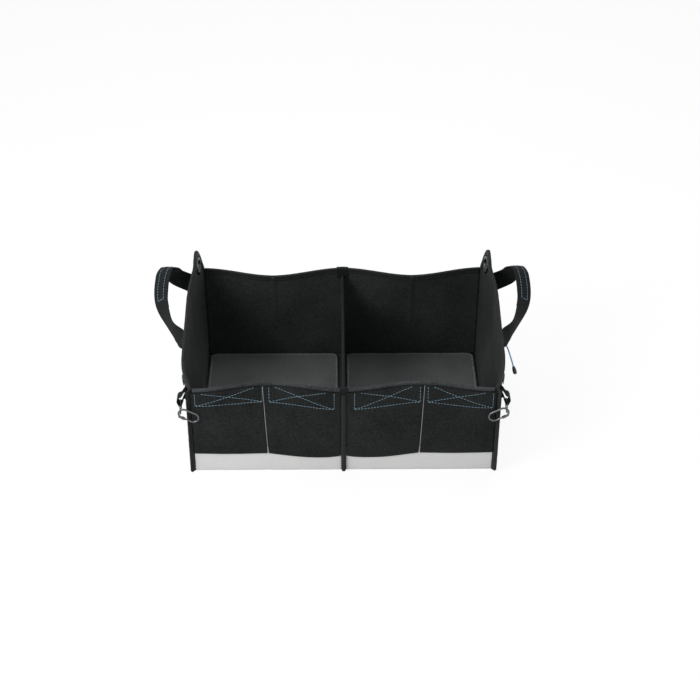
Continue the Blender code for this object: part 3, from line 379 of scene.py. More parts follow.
def sideOutline():
    # y and height along the top of a side panel, front to rear
    start = boxForm["outerDepth"] - boxForm["halfDepth"]
    spanEnd = peakForm["shoulderDepth"]
    low, high = boxForm["frontTop"], peakForm["shoulderHeight"]
    edge = []
    for k in range(44):
        share = k / 44
        edge.append((start + (spanEnd - start) * share, low + share ** peakForm["power"] * (high - low)))
    first = Vector((spanEnd, high))
    last = Vector((peakForm["depth"] + peakForm["radius"] * math.cos(peakForm["arcStart"]),
                   peakForm["height"] + peakForm["radius"] * math.sin(peakForm["arcStart"])))
    run = last.x - first.x
    firstPull = Vector((1, peakForm["power"] * (high - low) / (spanEnd - start))) * run
    lastPull = Vector((1, -1 / math.tan(peakForm["arcStart"]))) * run
    for k in range(9):
        t = k / 9
        place = (first * (2 * t ** 3 - 3 * t * t + 1) + firstPull * (t ** 3 - 2 * t * t + t)
                 + last * (3 * t * t - 2 * t ** 3) + lastPull * (t ** 3 - t * t))
        edge.append((place.x, place.y))
    for k in range(28):
        angle = peakForm["arcStart"] * (1 - k / 27)
        edge.append((peakForm["depth"] + peakForm["radius"] * math.cos(angle),
                     peakForm["height"] + peakForm["radius"] * math.sin(angle)))
    return [(depth - boxForm["outerDepth"], z) for depth, z in edge]


sideEdge = sideOutline()


def sideTop(y):
    for (y0, z0), (y1, z1) in zip(sideEdge, sideEdge[1:]):
        if y0 <= y <= y1:
            return z0 + (z1 - z0) * (y - y0) / max(y1 - y0, small)
    return sideEdge[0][1] if y < sideEdge[0][0] else sideEdge[-1][1]


# Mesh helpers

def steps(low, high, count):
    return [low + (high - low) * k / count for k in range(count + 1)]


def addMesh(name, verts, faces, cloth=None):
    mesh = bpy.data.meshes.new(name)
    mesh.from_pydata([tuple(v) for v in verts], [], faces)
    if cloth:
        attribute = mesh.attributes.new("cloth", "FLOAT_VECTOR", "POINT")
        attribute.data.foreach_set("vector", [x for u, v in cloth for x in (u, v, 0.0)])
    mesh.shade_smooth()
    mesh.update()
    piece = bpy.data.objects.new(name, mesh)
    bpy.context.scene.collection.objects.link(piece)
    return piece


def clothSheet(name, us, vs, point, lay, thickness, outward, grow=-1):
    # cloth on a grid: point(u, v) is a place, lay(u, v, place) its two distances in the cloth
    verts = [point(u, v) for v in vs for u in us]
    cloth = [lay(u, v, verts[j * len(us) + i]) for j, v in enumerate(vs) for i, u in enumerate(us)]
    n = len(us)
    faces = [(j * n + i, j * n + i + 1, (j + 1) * n + i + 1, (j + 1) * n + i)
             for j in range(len(vs) - 1) for i in range(n - 1)]
    middle = faces[(len(vs) // 2) * (n - 1) + n // 2]
    a, b, c = (verts[middle[k]] for k in (0, 1, 2))
    if (b - a).cross(c - b).dot(Vector(outward)) < 0:
        faces = [tuple(reversed(face)) for face in faces]
    piece = addMesh(name, verts, faces, cloth)
    solid = piece.modifiers.new("thickness", "SOLIDIFY")
    solid.thickness = thickness
    solid.offset = grow
    solid.use_even_offset = True
    return piece


def layOn(first, second):
    # a sheet's two distances in the cloth read off two axes of each place: 0, 1 and 2 for X, Y and Z
    return lambda u, v, place: (place[first], place[second])


def layAlong(lengths, width):
    # the same for a strap: u counts its places and v runs across it from -0.5 to 0.5
    return lambda u, v, place: (lengths[round(u)], v * width)


def softEdges(piece, width):
    rounding = piece.modifiers.new("soft_edges", "BEVEL")
    rounding.width = width
    rounding.segments = 2
    rounding.limit_method = "ANGLE"
    rounding.angle_limit = math.radians(50)
    return piece


def lengthsAlong(path):
    lengths = [0.0]
    for here, after in zip(path, path[1:]):
        lengths.append(lengths[-1] + (after - here).length)
    return lengths


def ringFaces(count, around, base=0, closed=False):
    # the faces between count rings of places, and the two ends of an open row of rings
    faces = []
    for i in range(count if closed else count - 1):
        start, stop = base + i * around, base + (i + 1) % count * around
        faces += [(start + k, start + (k + 1) % around, stop + (k + 1) % around, stop + k)
                  for k in range(around)]
    if not closed:
        last = base + (count - 1) * around
        faces += [tuple(reversed(range(base, base + around))), tuple(range(last, last + around))]
    return faces


def sweep(name, rings, closed=False):
    # a closed section repeated along a path, as one mesh; each ring is a list of places
    verts = [place for ring in rings for place in ring]
    cloth = []
    for along, ring in zip(lengthsAlong([ring[0] for ring in rings]), rings):
        cloth += [(along, across) for across in lengthsAlong(ring)]
    return addMesh(name, verts, ringFaces(len(rings), len(rings[0]), 0, closed), cloth)


def arc(start, span, count):
    # cosine and sine at count even steps along an arc, both its ends counted in
    return [(math.cos(angle), math.sin(angle)) for angle in steps(start, start + span, count)]


def circle(count):
    return arc(0, 2 * math.pi, count)[:-1]


def roundRing(place, first, second, radius, count=10):
    return [place + first * radius * c + second * radius * s for c, s in circle(count)]


def heading(path, i, closed=False):
    # the direction of a path at its place i
    if closed:
        return (path[(i + 1) % len(path)] - path[i - 1]).normalized()
    return (path[min(i + 1, len(path) - 1)] - path[max(i - 1, 0)]).normalized()


def squared(way, along):
    # the direction nearest to way that stands square to along
    return (way - along * way.dot(along)).normalized()


def pathFrames(path, hint, closed=False):
    # each place of a path with two directions square to it, the first one near the hint
    frames = []
    for i, place in enumerate(path):
        along = heading(path, i, closed)
        first = squared(hint, along)
        frames.append((place, first, along.cross(first)))
    return frames


def tube(name, path, radius, hint, count=10, closed=False):
    rings = [roundRing(*frame, radius, count) for frame in pathFrames(path, hint, closed)]
    return sweep(name, rings, closed)


def smoothPath(points, samples):
    # Catmull-Rom curve through points
    ends = [points[0] * 2 - points[1]] + list(points) + [points[-1] * 2 - points[-2]]
    path = []
    for i in range(1, len(ends) - 2):
        before, start, stop, after = ends[i - 1:i + 3]
        for k in range(samples):
            t = k / samples
            path.append(0.5 * (2 * start + (stop - before) * t
                               + (2 * before - 5 * start + 4 * stop - after) * t * t
                               + (3 * start - before - 3 * stop + after) * t ** 3))
    path.append(points[-1].copy())
    return path


def wander(x, y, size, seed):
    # slow noise from -1 to 1 over a distance of about size metres
    return noise.noise(Vector((x / size + seed * 7.3, y / size - seed * 3.1, seed * 1.7)))


def dress(piece, material, body="box", replaced=()):
    piece.data.materials.clear()
    piece.data.materials.append(material)
    if replaced:
        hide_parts(*replaced)
    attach(piece, body)
    return piece


# Stitching: each stitch is a short raised loop of thread whose ends dive into the cloth
stitchForm = {
    "pitch": 0.0064,    # drawn coarse, so that the stitches show apart
    "share": 0.54,      # how much of the pitch the thread shows for
    "radius": 0.00042,
    "lift": 0.00035,
    "sink": 0.0006,
}


def stitchRows(name, rows):
    # rows are lists of (place, normal); one mesh holds them all
    form = stitchForm
    verts, faces, cloth = [], [], []
    for row in rows:
        lengths = lengthsAlong([place for place, _ in row])

        def at(distance):
            for i in range(len(row) - 1):
                if distance <= lengths[i + 1] or i == len(row) - 2:
                    share = (distance - lengths[i]) / max(lengths[i + 1] - lengths[i], 1e-6)
                    return (row[i][0].lerp(row[i + 1][0], share),
                            row[i][1].lerp(row[i + 1][1], share).normalized())

        count = max(1, round(lengths[-1] / form["pitch"]))
        pitch = lengths[-1] / count
        for k in range(count):
            start = (k + (1 - form["share"]) / 2) * pitch
            places = []
            for share, height in ((0, -form["sink"]), (0.12, 0.5 * form["lift"]),
                                  (0.5, form["lift"]), (0.88, 0.5 * form["lift"]),
                                  (1, -form["sink"])):
                place, normal = at(start + share * form["share"] * pitch)
                places.append((place + normal * height, normal))
            faces += ringFaces(len(places), 6, len(verts))
            for i, (place, normal) in enumerate(places):
                along = heading([spot for spot, _ in places], i)
                across = along.cross(normal).normalized()
                verts += roundRing(place, across, across.cross(along), form["radius"], 6)
                cloth += [(start + i * 0.0006, j * 0.0004) for j in range(6)]
    return addMesh(name, verts, faces, cloth)


def sewRows(name, rows, thread):
    return dress(stitchRows(name, rows), thread)


def sewLine(sewAt, start, end):
    # one row of stitching, straight in the two distances that sewAt turns into a place and its normal
    return [sewAt(*(a + (b - a) * t for a, b in zip(start, end))) for t in steps(0, 1, 24)]


# Grey tray: the stiffened base of coated tarpaulin that the walls stand in
trayForm = {"width": 0.310, "depth": 0.209, "corner": 0.006, "skin": 0.0012, "slack": 0.0006,
            "seam": 0.154, "creaseWidth": 0.012, "creaseDepth": 0.0007, "foot": 0.004, "footIn": 0.0015,
            "outlineStep": 0.005, "liningEdge": 0.004, "threadDrop": 0.003, "threadFront": -0.19}


def trayOutline():
    # the tray's outline seen from above, as places with the way out
    w, d, r = trayForm["width"], trayForm["depth"], trayForm["corner"]
    places = []
    corners = ((w - r, d - r, 0), (r - w, d - r, 1), (r - w, r - d, 2), (w - r, r - d, 3))
    for index, (cx, cy, quarter) in enumerate(corners):
        for k in range(7):
            angle = math.pi / 2 * (quarter + k / 6)
            out = Vector((math.cos(angle), math.sin(angle), 0))
            places.append((Vector((cx, cy, 0)) + out * r, out))
        nx, ny, _ = corners[(index + 1) % 4]
        here, out = places[-1]
        target = Vector((nx, ny, 0)) + out * r
        count = max(2, round((target - here).length / trayForm["outlineStep"]))
        for k in range(1, count):
            places.append((here.lerp(target, k / count), out))
    return places


def buildTray():
    form = trayForm
    outline = trayOutline()
    heights = [0.0, 0.0015, form["foot"]] + steps(0.008, boxForm["trayHeight"], 10)
    verts = []
    for z in heights:
        for place, out in outline:
            away = -form["footIn"] * max(0.0, 1 - z / form["foot"])
            away -= form["slack"] * (0.5 + 0.5 * wander(place.x + place.y, z, 0.05, 3))
            near = abs(abs(place.x) - form["seam"]) / form["creaseWidth"]
            if place.y < form["threadFront"]:
                away -= form["creaseDepth"] * max(0.0, 1 - near) ** 2
            verts.append(Vector((place.x, place.y, z)) + out * away)
    lengths = lengthsAlong([place for place, _ in outline])
    cloth = [(along, z) for z in heights for along in lengths]
    # the tray is open above, so the last face, the top one, is left out
    tray = addMesh("grey_tray", verts, ringFaces(len(heights), len(outline))[:-1], cloth)
    skin = tray.modifiers.new("thickness", "SOLIDIFY")
    skin.thickness = form["skin"]
    skin.offset = -1
    dress(tray, tarpaulin, replaced=["base_tray"])
    reachX, reachY = (boxForm[key] - form["liningEdge"] for key in ("halfWidth", "halfDepth"))

    def inside(x, y):
        return Vector((x, y, form["skin"] + 0.00022 + 0.00005 * wander(x, y, 0.06, 16)))

    lining = clothSheet("tray_floor_lining", steps(-reachX, reachX, 60), steps(-reachY, reachY, 40),
                        inside, layOn(0, 1), 0.0001, (0, 0, 1))
    dress(lining, liningCloth)
    # the front has no thread, so the row round the tray is broken there
    parts = [[]]
    for place, out in outline + outline[:1]:
        if place.y > form["threadFront"]:
            parts[-1].append((Vector((place.x, place.y, boxForm["trayHeight"] - form["threadDrop"])), out))
        elif parts[-1]:
            parts.append([])
    sewRows("tray_stitching", [part for part in parts if len(part) > 1], darkThread)


# Standing walls of lined canvas over board; their faces lie a tuck inside those of the solids
wallForm = {"wrinkle": 0.0009, "creaseDepth": 0.0030, "creaseWidth": 0.004, "tuck": 0.0004}


def creaseDip(x):
    near = abs(abs(x) - boxForm["wallEnd"] / 2) / wallForm["creaseWidth"]
    return wallForm["creaseDepth"] * max(0.0, 1 - near)


def buildWalls():
    columns = steps(-boxForm["wallEnd"], boxForm["wallEnd"], 140)

    def front(x, v):
        z = boxForm["floor"] + v * (boxForm["frontTop"] - boxForm["floor"])
        return onFront(x, z, wallForm["wrinkle"] * wander(x, z, 0.07, 1) * rise(z, 0.18) - wallForm["tuck"])

    def back(x, v):
        z = boxForm["floor"] + v * (boxForm["backTop"] - boxForm["floor"])
        slack = wallForm["wrinkle"] * wander(x, z, 0.08, 2) - creaseDip(x)
        return onBack(x, z, slack * rise(z, 0.12) - wallForm["tuck"])

    for label, count, wall, way in (("front", 48, front, -1), ("back", 54, back, 1)):
        piece = clothSheet(label + "_panel", columns, steps(0, 1, count), wall, layOn(0, 2),
                           boxForm["wall"], (0, way, 0))
        dress(piece, liningCloth, replaced=[label + "_wall"])


def eyeletHole(place):
    if place == "rear":
        return peakForm["depth"] - boxForm["outerDepth"], peakForm["height"]
    y = pressForm["frontDepth"] - boxForm["outerDepth"]
    return y, sideTop(y) - pressForm["frontDrop"]


# radii of each hole and its flange, then what all the eyelets share
eyeletForm = {"rear": (0.0130, 0.0190), "front": (0.0065, 0.0115)}
pressForm = {"crown": 0.0018, "stand": 0.0008, "seat": 0.0006, "barrel": 0.0009, "foot": 0.0018,
             "washer": 0.0010, "washerHole": 0.0012, "washerEdge": 0.0005, "washerThick": 0.0012,
             "punchRoom": 0.0011, "frontDepth": 0.060, "frontDrop": 0.025}


def buildSides():
    for label, side in sides:
        def panel(u, v, side=side):
            y, top = sideEdge[round(u)]
            z = boxForm["floor"] + v * (top - boxForm["floor"])
            ease = clamp((z - 0.06) / 0.05) * clamp((boxForm["halfDepth"] - abs(y)) / 0.02)
            slack = wallForm["wrinkle"] * wander(y, z, 0.08, 4 + side) * ease
            return onSide(side, y, z, slack - wallForm["tuck"])

        piece = clothSheet(label + "_panel", range(len(sideEdge)), steps(0, 1, 60), panel, layOn(1, 2),
                           boxForm["wall"], (side, 0, 0))
        for place, (hole, _) in eyeletForm.items():
            cutter = addMesh(f"{label}_{place}_punch", *drum(hole + pressForm["punchRoom"], 0.03, 40))
            standOnSide(cutter, side, *eyeletHole(place))
            cutter.hide_render = cutter.hide_viewport = True
            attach(cutter, "box")
            punch = piece.modifiers.new("punch_" + place, "BOOLEAN")
            punch.object = cutter
            punch.operation = "DIFFERENCE"
            punch.solver = "EXACT"
        dress(piece, liningCloth, replaced=[label + "_side"])


def drum(radius, length, count):
    verts = [Vector((radius * c, radius * s, z))
             for z in (-length / 2, length / 2) for c, s in circle(count)]
    return verts, ringFaces(2, count)


def standOnSide(piece, side, y, z):
    piece.location = onSide(side, y, z)
    piece.rotation_mode = "QUATERNION"
    piece.rotation_quaternion = sideNormal(side, y, z).to_track_quat("Z", "Y")
    bpy.context.view_layer.update()


def bakePlace(piece):
    # moves an object's place into its mesh
    bpy.context.view_layer.update()
    piece.data.transform(piece.matrix_world)
    piece.matrix_world = Matrix.Identity(4)
    return piece


def turnedRing(name, profile, count=64):
    # a closed profile of (radius, height) turned about Z
    rings = [[Vector((r * c, r * s, z)) for r, z in profile] for c, s in circle(count)]
    return sweep(name, rings, closed=True)


def buildEyelets():
    # a rolled crown outside and a flat washer inside, in one pressed barrel
    form = pressForm
    foot, low = (-boxForm["wall"] - form[key] for key in ("foot", "washer"))
    for label, side in sides:
        for place, (hole, flange) in eyeletForm.items():
            middle, half = (hole + flange) / 2, (flange - hole) / 2
            inner, rim, under = hole + form["barrel"], hole + form["washerHole"], low - form["washerThick"]
            profile = [(hole, foot), (hole, form["stand"])]
            profile += [(hole + half * (1 - c), form["stand"] + form["crown"] * max(0.0, s) ** 0.8)
                        for c, s in arc(0, math.pi, 12)[1:]]
            profile += [(flange - 0.001, form["seat"]), (inner, form["seat"]), (inner, foot)]
            eyelet = turnedRing(f"{label}_{place}_eyelet_ring", profile)
            washer = turnedRing(f"{label}_{place}_eyelet_washer", [
                (rim, low), (flange, low), (flange, low - form["washerEdge"]), (middle, under),
                (rim, under)])
            for piece, node in ((eyelet, "eyelet"), (washer, "washer")):
                standOnSide(piece, side, *eyeletHole(place))
                bakePlace(piece)
                dress(piece, eyeletSteel, replaced=[f"{label}_{place}_{node}"])


buildTray()
buildWalls()
buildSides()
buildEyelets()
print("tray, walls and eyelets made")


# Binding tape folded over the edges, with a row of dark stitching near its lower edge
tapeForm = {"leg": 0.0102, "thick": 0.0013, "crown": 0.0017, "pucker": 0.00035, "stitchDrop": 0.0072,
            "reach": 0.3040, "rearDrops": (0.2560, 0.2490, 0.2420, 0.2343)}
frontTapeForm = dict(tapeForm, leg=0.0050, stitchDrop=0.0036)


def tapeSection(wall, leg, thick, crown):
    # offsets out from the middle of the panel and up from its edge, outer side first
    half = wall / 2
    full, inner = half + thick, half - 0.0002
    outer = [(half + thick * 0.8, -leg), (full, -leg + 0.0008), (full, -leg * 0.5)]
    return (outer + [(full * c, crown * s) for c, s in arc(0, math.pi, 10)]
            + [(-off, up) for off, up in reversed(outer)]
            + [(-inner, -leg), (-inner, -0.001), (inner, -0.001), (inner, -leg)])


def bindEdge(name, places, wall, form=tapeForm, seed=0, tapeCloth=bindingTape):
    # places are (place at the middle of the edge, way out of the face, way up out of the edge)
    rings = []
    rows = ([], [])
    for i, (place, out, up) in enumerate(places):
        pucker = form["pucker"] * noise.noise(Vector((i * 0.61, seed * 9.1, 0.3)))
        section = tapeSection(wall, form["leg"] + 1.5 * pucker, form["thick"] + pucker, form["crown"])
        rings.append([place + out * a + up * b for a, b in section])
        for row, way in zip(rows, (1, -1)):
            row.append((place + out * way * (wall / 2 + form["thick"] + pucker)
                        - up * form["stitchDrop"], out * way))
    tape = dress(sweep(name, rings), tapeCloth)
    sewRows(name + "_stitching", rows, darkThread)
    return tape


def buildRims():
    wall, reach = boxForm["wall"], tapeForm["reach"]
    for label, surface, top, *look in (
            ("front", onFront, boxForm["frontTop"], frontTapeForm, 1, feltTape),
            ("back", onBack, boxForm["backTop"], tapeForm, 2)):
        places = []
        for x in steps(-reach, reach, 200):
            out = wayOut(surface, x, top)
            places.append((surface(x, top, -wall / 2), out, squared(Vector((0, 0, 1)), out)))
        tape = bindEdge(label + "_edge_binding", places, wall, *look)
        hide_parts(label + "_rim")
    # a side's tape runs on down the rear edge of its free corner
    edge = [Vector(spot) for spot in sideEdge]
    edge += [Vector((edge[-1].x, z)) for z in tapeForm["rearDrops"]]
    for label, side in sides:
        places = []
        for i, (y, z) in enumerate(edge):
            run = heading(edge, i)
            out = sideNormal(side, y, z)
            places.append((onSide(side, y, z, -wall / 2), out, squared(Vector((0, -run.y, run.x)), out)))
        tape = bindEdge(label + "_edge_binding", places, wall, seed=3 + side)
        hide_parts(label + "_rim")


# Bound seams that stand out at the corners and at the middle of the front
finForm = {"reach": 0.0095, "thick": 0.0034, "frontTop": 0.2086, "backTop": 0.234,
           "rootX": 0.3076, "rootY": 0.2066, "rootDeep": 0.0032,
           "centreWidth": 0.0100, "centreStand": 0.0066, "centreY": -0.2088, "centreTop": 0.1975,
           "pucker": 0.0004, "lean": 0.0005, "endShare": 0.82}


def finSection(reach, thick):
    # a folded seam seen from above: flat flanks and a rounded outer edge
    half = thick / 2
    rounded = [(reach - half + half * c, half * s) for c, s in arc(-math.pi / 2, math.pi, 8)]
    return [(0, -half)] + rounded + [(0, half)]


def standFin(name, x, y, out, height, reach, thick, seed):
    along = Vector((-out.y, out.x, 0))
    heights = [0.0004, 0.0014] + steps(0.004, height - 0.003, 60) + [height - 0.001, height]
    rings = []
    for z in heights:
        shrink = finForm["endShare"] if z < 0.003 or z > height - 0.002 else 1.0
        pucker = finForm["pucker"] * noise.noise(Vector((z / 0.009, seed * 5.7, 0.1)))
        lean = finForm["lean"] * noise.noise(Vector((z / 0.05, seed * 3.3, 2.0)))
        rings.append([Vector((x, y, z)) + out * a * shrink + along * (b * shrink + lean)
                      for a, b in finSection(reach + pucker, thick + pucker)])
    fin = dress(sweep(name, rings), bindingTape)
    rows = [[(Vector((x, y, z)) + out * reach * 0.42 + along * way * thick * 0.5, along * way)
             for z in steps(0.004, height - 0.004, 50)] for way in (1, -1)]
    sewRows(name + "_stitching", rows, darkThread)
    return fin


def buildFins():
    form = finForm
    for end, way in (("front", -1), ("back", 1)):
        for label, side in sides:
            fin = standFin(f"{end}_{label}_seam_binding", side * form["rootX"], way * form["rootY"],
                           Vector((side, way, 0)).normalized(), form[end + "Top"],
                           form["reach"] + form["rootDeep"], form["thick"], side + 2 * way)
            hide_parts(f"{end}_{label}_corner_tape")
    fin = standFin("front_centre_seam_binding", 0, form["centreY"], Vector((0, -1, 0)),
                   form["centreTop"], form["centreStand"], form["centreWidth"], 9)
    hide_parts("front_centre_tape")


buildRims()
buildFins()
print("bindings made")


# Loose base boards: felt over board with a bound edge
boardForm = {"near": 0.0105, "far": 0.299, "front": -0.200, "back": 0.2015, "corner": 0.014,
             "floor": 0.0016, "thick": 0.0038, "edge": 0.0025, "roll": 0.0024, "crown": 0.0006,
             "wave": 0.0003, "pucker": 0.00025}


def roundedBox(x0, x1, y0, y1, radius, count=8):
    places = []
    corners = ((x1 - radius, y1 - radius, 0), (x0 + radius, y1 - radius, 1),
               (x0 + radius, y0 + radius, 2), (x1 - radius, y0 + radius, 3))
    for cx, cy, quarter in corners:
        places += [Vector((cx + radius * c, cy + radius * s, 0))
                   for c, s in arc(math.pi / 2 * quarter, math.pi / 2, count)]
    return places


def denseLoop(loop, spacing):
    places = []
    for here, after in zip(loop, loop[1:] + loop[:1]):
        count = max(1, round((after - here).length / spacing))
        places += [here.lerp(after, k / count) for k in range(count)]
    return places


def buildBoards():
    form = boardForm
    for label, side in sides:
        x0, x1 = sorted((side * form["near"], side * form["far"]))
        inset = form["edge"]
        middleX, middleY = (x0 + x1) / 2, (form["front"] + form["back"]) / 2
        halfX, halfY = (x1 - x0) / 2 - inset, (form["back"] - form["front"]) / 2 - inset

        def face(dx, dy):
            # the grid's corners are drawn in to the rounded outline
            cx, cy = halfX - form["corner"], halfY - form["corner"]
            over = Vector((max(abs(dx) - cx, 0), max(abs(dy) - cy, 0)))
            if over.x > 0 and over.y > 0:
                most = max(over.x, over.y)
                pull = most / over.length
                dx = math.copysign(cx + over.x * pull, dx)
                dy = math.copysign(cy + over.y * pull, dy)
            swell = form["crown"] * clamp(min(halfX - abs(dx), halfY - abs(dy)) / 0.02)
            swell += form["wave"] * wander(dx, dy, 0.05, 6 + side)
            return Vector((middleX + dx, middleY + dy, form["floor"] + form["thick"] + swell))

        board = clothSheet(label + "_felt_board", steps(-halfX, halfX, 60), steps(-halfY, halfY, 80),
                           face, layOn(0, 1), form["thick"], (0, 0, 1))
        dress(board, boardFelt, replaced=[label + "_base_board"])
        loop = denseLoop(roundedBox(x0, x1, form["front"], form["back"], form["corner"]), 0.006)
        rings = []
        for i, place in enumerate(loop):
            along = heading(loop, i, closed=True)
            out = Vector((along.y, -along.x, 0))
            roll = form["roll"] + form["pucker"] * noise.noise(Vector((i * 0.7, side * 4.0, 0.5)))
            centre = place - out * roll + Vector((0, 0, form["floor"] + form["roll"]))
            rings.append(roundRing(centre, out * 1.35, Vector((0, 0, 1)), roll, 12))
        edge = sweep(label + "_board_binding", rings, closed=True)
        dress(edge, boardEdging, replaced=[label + "_board_tape"])


# Hanging divider with a bound top, and the webbing tabs that carry it
dividerForm = {"front": -0.2003, "back": 0.2003, "height": 0.190, "tongue": 0.221,
               "tongueLength": 0.060, "thick": 0.003, "wave": 0.0010, "foot": 0.0018}
dividerTapeForm = dict(tapeForm, leg=0.0082, stitchDrop=0.0055, crown=0.0013, thick=0.0007)


def dividerTop(y):
    form = dividerForm
    start = form["back"] - form["tongueLength"]
    if y <= start:
        return form["height"]
    share = (y - start) / form["tongueLength"]
    return form["height"] + (1 - math.cos(math.pi * share)) / 2 * (form["tongue"] - form["height"])


def dividerX(y, z):
    share = (y - dividerForm["front"]) / (dividerForm["back"] - dividerForm["front"])
    ease = math.sin(math.pi * clamp(share))
    return dividerForm["wave"] * wander(y, z, 0.14, 8) * ease


def buildDivider():
    form = dividerForm

    def panel(y, v):
        z = form["foot"] + v * (dividerTop(y) - form["foot"])
        return Vector((form["thick"] / 2 + dividerX(y, z), y, z))

    piece = clothSheet("hanging_divider_painted_shade", steps(form["front"], form["back"], 90), steps(0, 1, 40),
                       panel, layOn(1, 2), form["thick"], (1, 0, 0))
    # the divider is of the lining cloth, drawn here in the darker pack cloth as painted shade
    dress(piece, pocketCloth, replaced=["divider"])
    places = []
    for y in steps(form["front"], form["back"] - 0.006, 110):
        z = dividerTop(y)
        slope = (dividerTop(y + small) - dividerTop(y - small)) / (2 * small)
        up = Vector((0, -slope, 1)).normalized()
        places.append((Vector((dividerX(y, z), y, z)), Vector((1, 0, 0)), up))
    # the divider's top binding is drawn in the darker webbing as painted shade on its upturned edge
    tape = bindEdge("divider_binding", places, form["thick"], dividerTapeForm, 7, webbing)
    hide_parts("divider_tape")


# a tab hangs down by low outside the wall and by more inside it
tabForm = {"low": 0.0105, "stand": 0.0018, "crown": 0.0022, "thick": 0.0014, "fray": 0.0004}


def buildTabs():
    form = tabForm
    half = boxForm["wall"] / 2 + form["stand"]
    for end, surface, top, width, deep in (("back", onBack, boxForm["backTop"], 0.0250, 0.021),
                                           ("front", onFront, boxForm["frontTop"], 0.0160, 0.030)):
        profile = [(half, up) for up in steps(-form["low"], 0, 6)[:-1]]
        profile += [(half * c, form["crown"] * s) for c, s in arc(0, math.pi, 8)]
        profile += [(-half, up) for up in steps(0, -deep, 12)[1:]]

        def tab(u, v, profile=profile, surface=surface, top=top, width=width):
            off, up = profile[round(v)]
            fray = form["fray"] * wander(v * 0.004, u, 0.02, 11)
            place = surface(u * width, top, -boxForm["wall"] / 2)
            return place + wayOut(surface, u * width, top) * (off + fray) + Vector((0, 0, up))

        def lay(u, v, place, width=width):
            return v * 0.002, u * width

        piece = clothSheet(end + "_webbing_tab", steps(-0.5, 0.5, 8), range(len(profile)), tab, lay,
                           form["thick"], (0, 0, 1), 1)
        dress(softEdges(piece, 0.0004), webbing, replaced=[f"divider_{end}_tab"])


buildBoards()
buildDivider()
buildTabs()
print("boards, divider and tabs made")


# Front pockets of pack cloth, with a folded hem under an X-stitched box
pocketForm = {
    "top": 0.2014,
    "bottom": 0.0475,
    "room": 0.0018,
    "cloth": 0.0012,
    "fullness": 0.0030,
    "seam": 0.158,        # from the middle of the box to each pocket's seam
    "seamLean": 0.055,    # how far the seams lean out, as a share of the height
    "seamLevel": 0.095,   # height at which they cross their mean place
    "hemLow": 0.1580,
    "hemStep": 0.0007,
    "outerSag": 0.0015,
    "innerSag": 0.0072,
    "sagSkew": 0.8,
    "centreDrop": 0.0075,
    "fold": 0.0021,
    "crumple": 0.00035,
    "stand": 0.0008,
    "hemSoft": 0.0006,
    "seamCordRoom": 0.0018,
    "seamCordRadius": 0.0005,
    "flat": (0.152, 0.156),
}
pocketEnds = (
    (-0.3076, -0.1594), (-0.1566, -0.0056), (0.0056, 0.1566), (0.1594, 0.3076),
)
# the sewn boxes under the hems: left and right ends, then the height of the lower corners
stitchBoxes = (
    (-0.2995, -0.1648, 0.1710, 0.1685), (-0.1510, -0.0190, 0.1675, 0.1610),
    (0.0210, 0.1550, 0.1610, 0.1660), (0.1710, 0.3010, 0.1660, 0.1636),
)


def pocketLow(index, t):
    if index in (0, 3):
        return pocketForm["bottom"] - pocketForm["outerSag"] * math.sin(math.pi * t)
    inward = 1 - t if index == 1 else t
    sag = pocketForm["innerSag"] * math.sin(math.pi * inward ** pocketForm["sagSkew"])
    return pocketForm["bottom"] - sag - pocketForm["centreDrop"] * (1 - inward)


def pocketOff(index, x, z):
    # how far the cloth's outer face stands off the front wall
    form = pocketForm
    left, right = pocketEnds[index]
    t = clamp((x - left) / (right - left))
    low = pocketLow(index, t)
    v = clamp((z - low) / (form["top"] - low))
    full = form["fullness"] * math.sin(math.pi * t) ** 0.8 * math.sin(math.pi * v) ** 0.9
    diagonal = noise.noise(Vector(((x + 0.8 * z) / 0.045, (z - 0.6 * x) / 0.11, index * 3.7)))
    fine = noise.noise(Vector((x / 0.018, z / 0.030, index * 5.1)))
    ease = min(1.0, 6 * t, 6 * (1 - t)) * min(1.0, 5 * v + 0.2)
    hem = 1 / (1 + math.exp(-(z - form["hemLow"]) / form["hemSoft"]))
    folds = (form["fold"] * diagonal + form["crumple"] * fine) * ease * (1 - 0.65 * hem)
    return form["room"] + form["cloth"] + form["stand"] + full + folds + form["hemStep"] * hem


def seamShift(x, z):
    # the seam at the middle of each half leans out towards the top
    near = 1 - abs(abs(x) - pocketForm["seam"]) / pocketForm["seam"]
    shift = pocketForm["seamLean"] * (z - pocketForm["seamLevel"]) * near ** 2
    return shift if x > 0 else -shift


def pocketPoint(index, x, z, lift=0.0):
    return onFront(x, z, pocketOff(index, x, z) + lift)


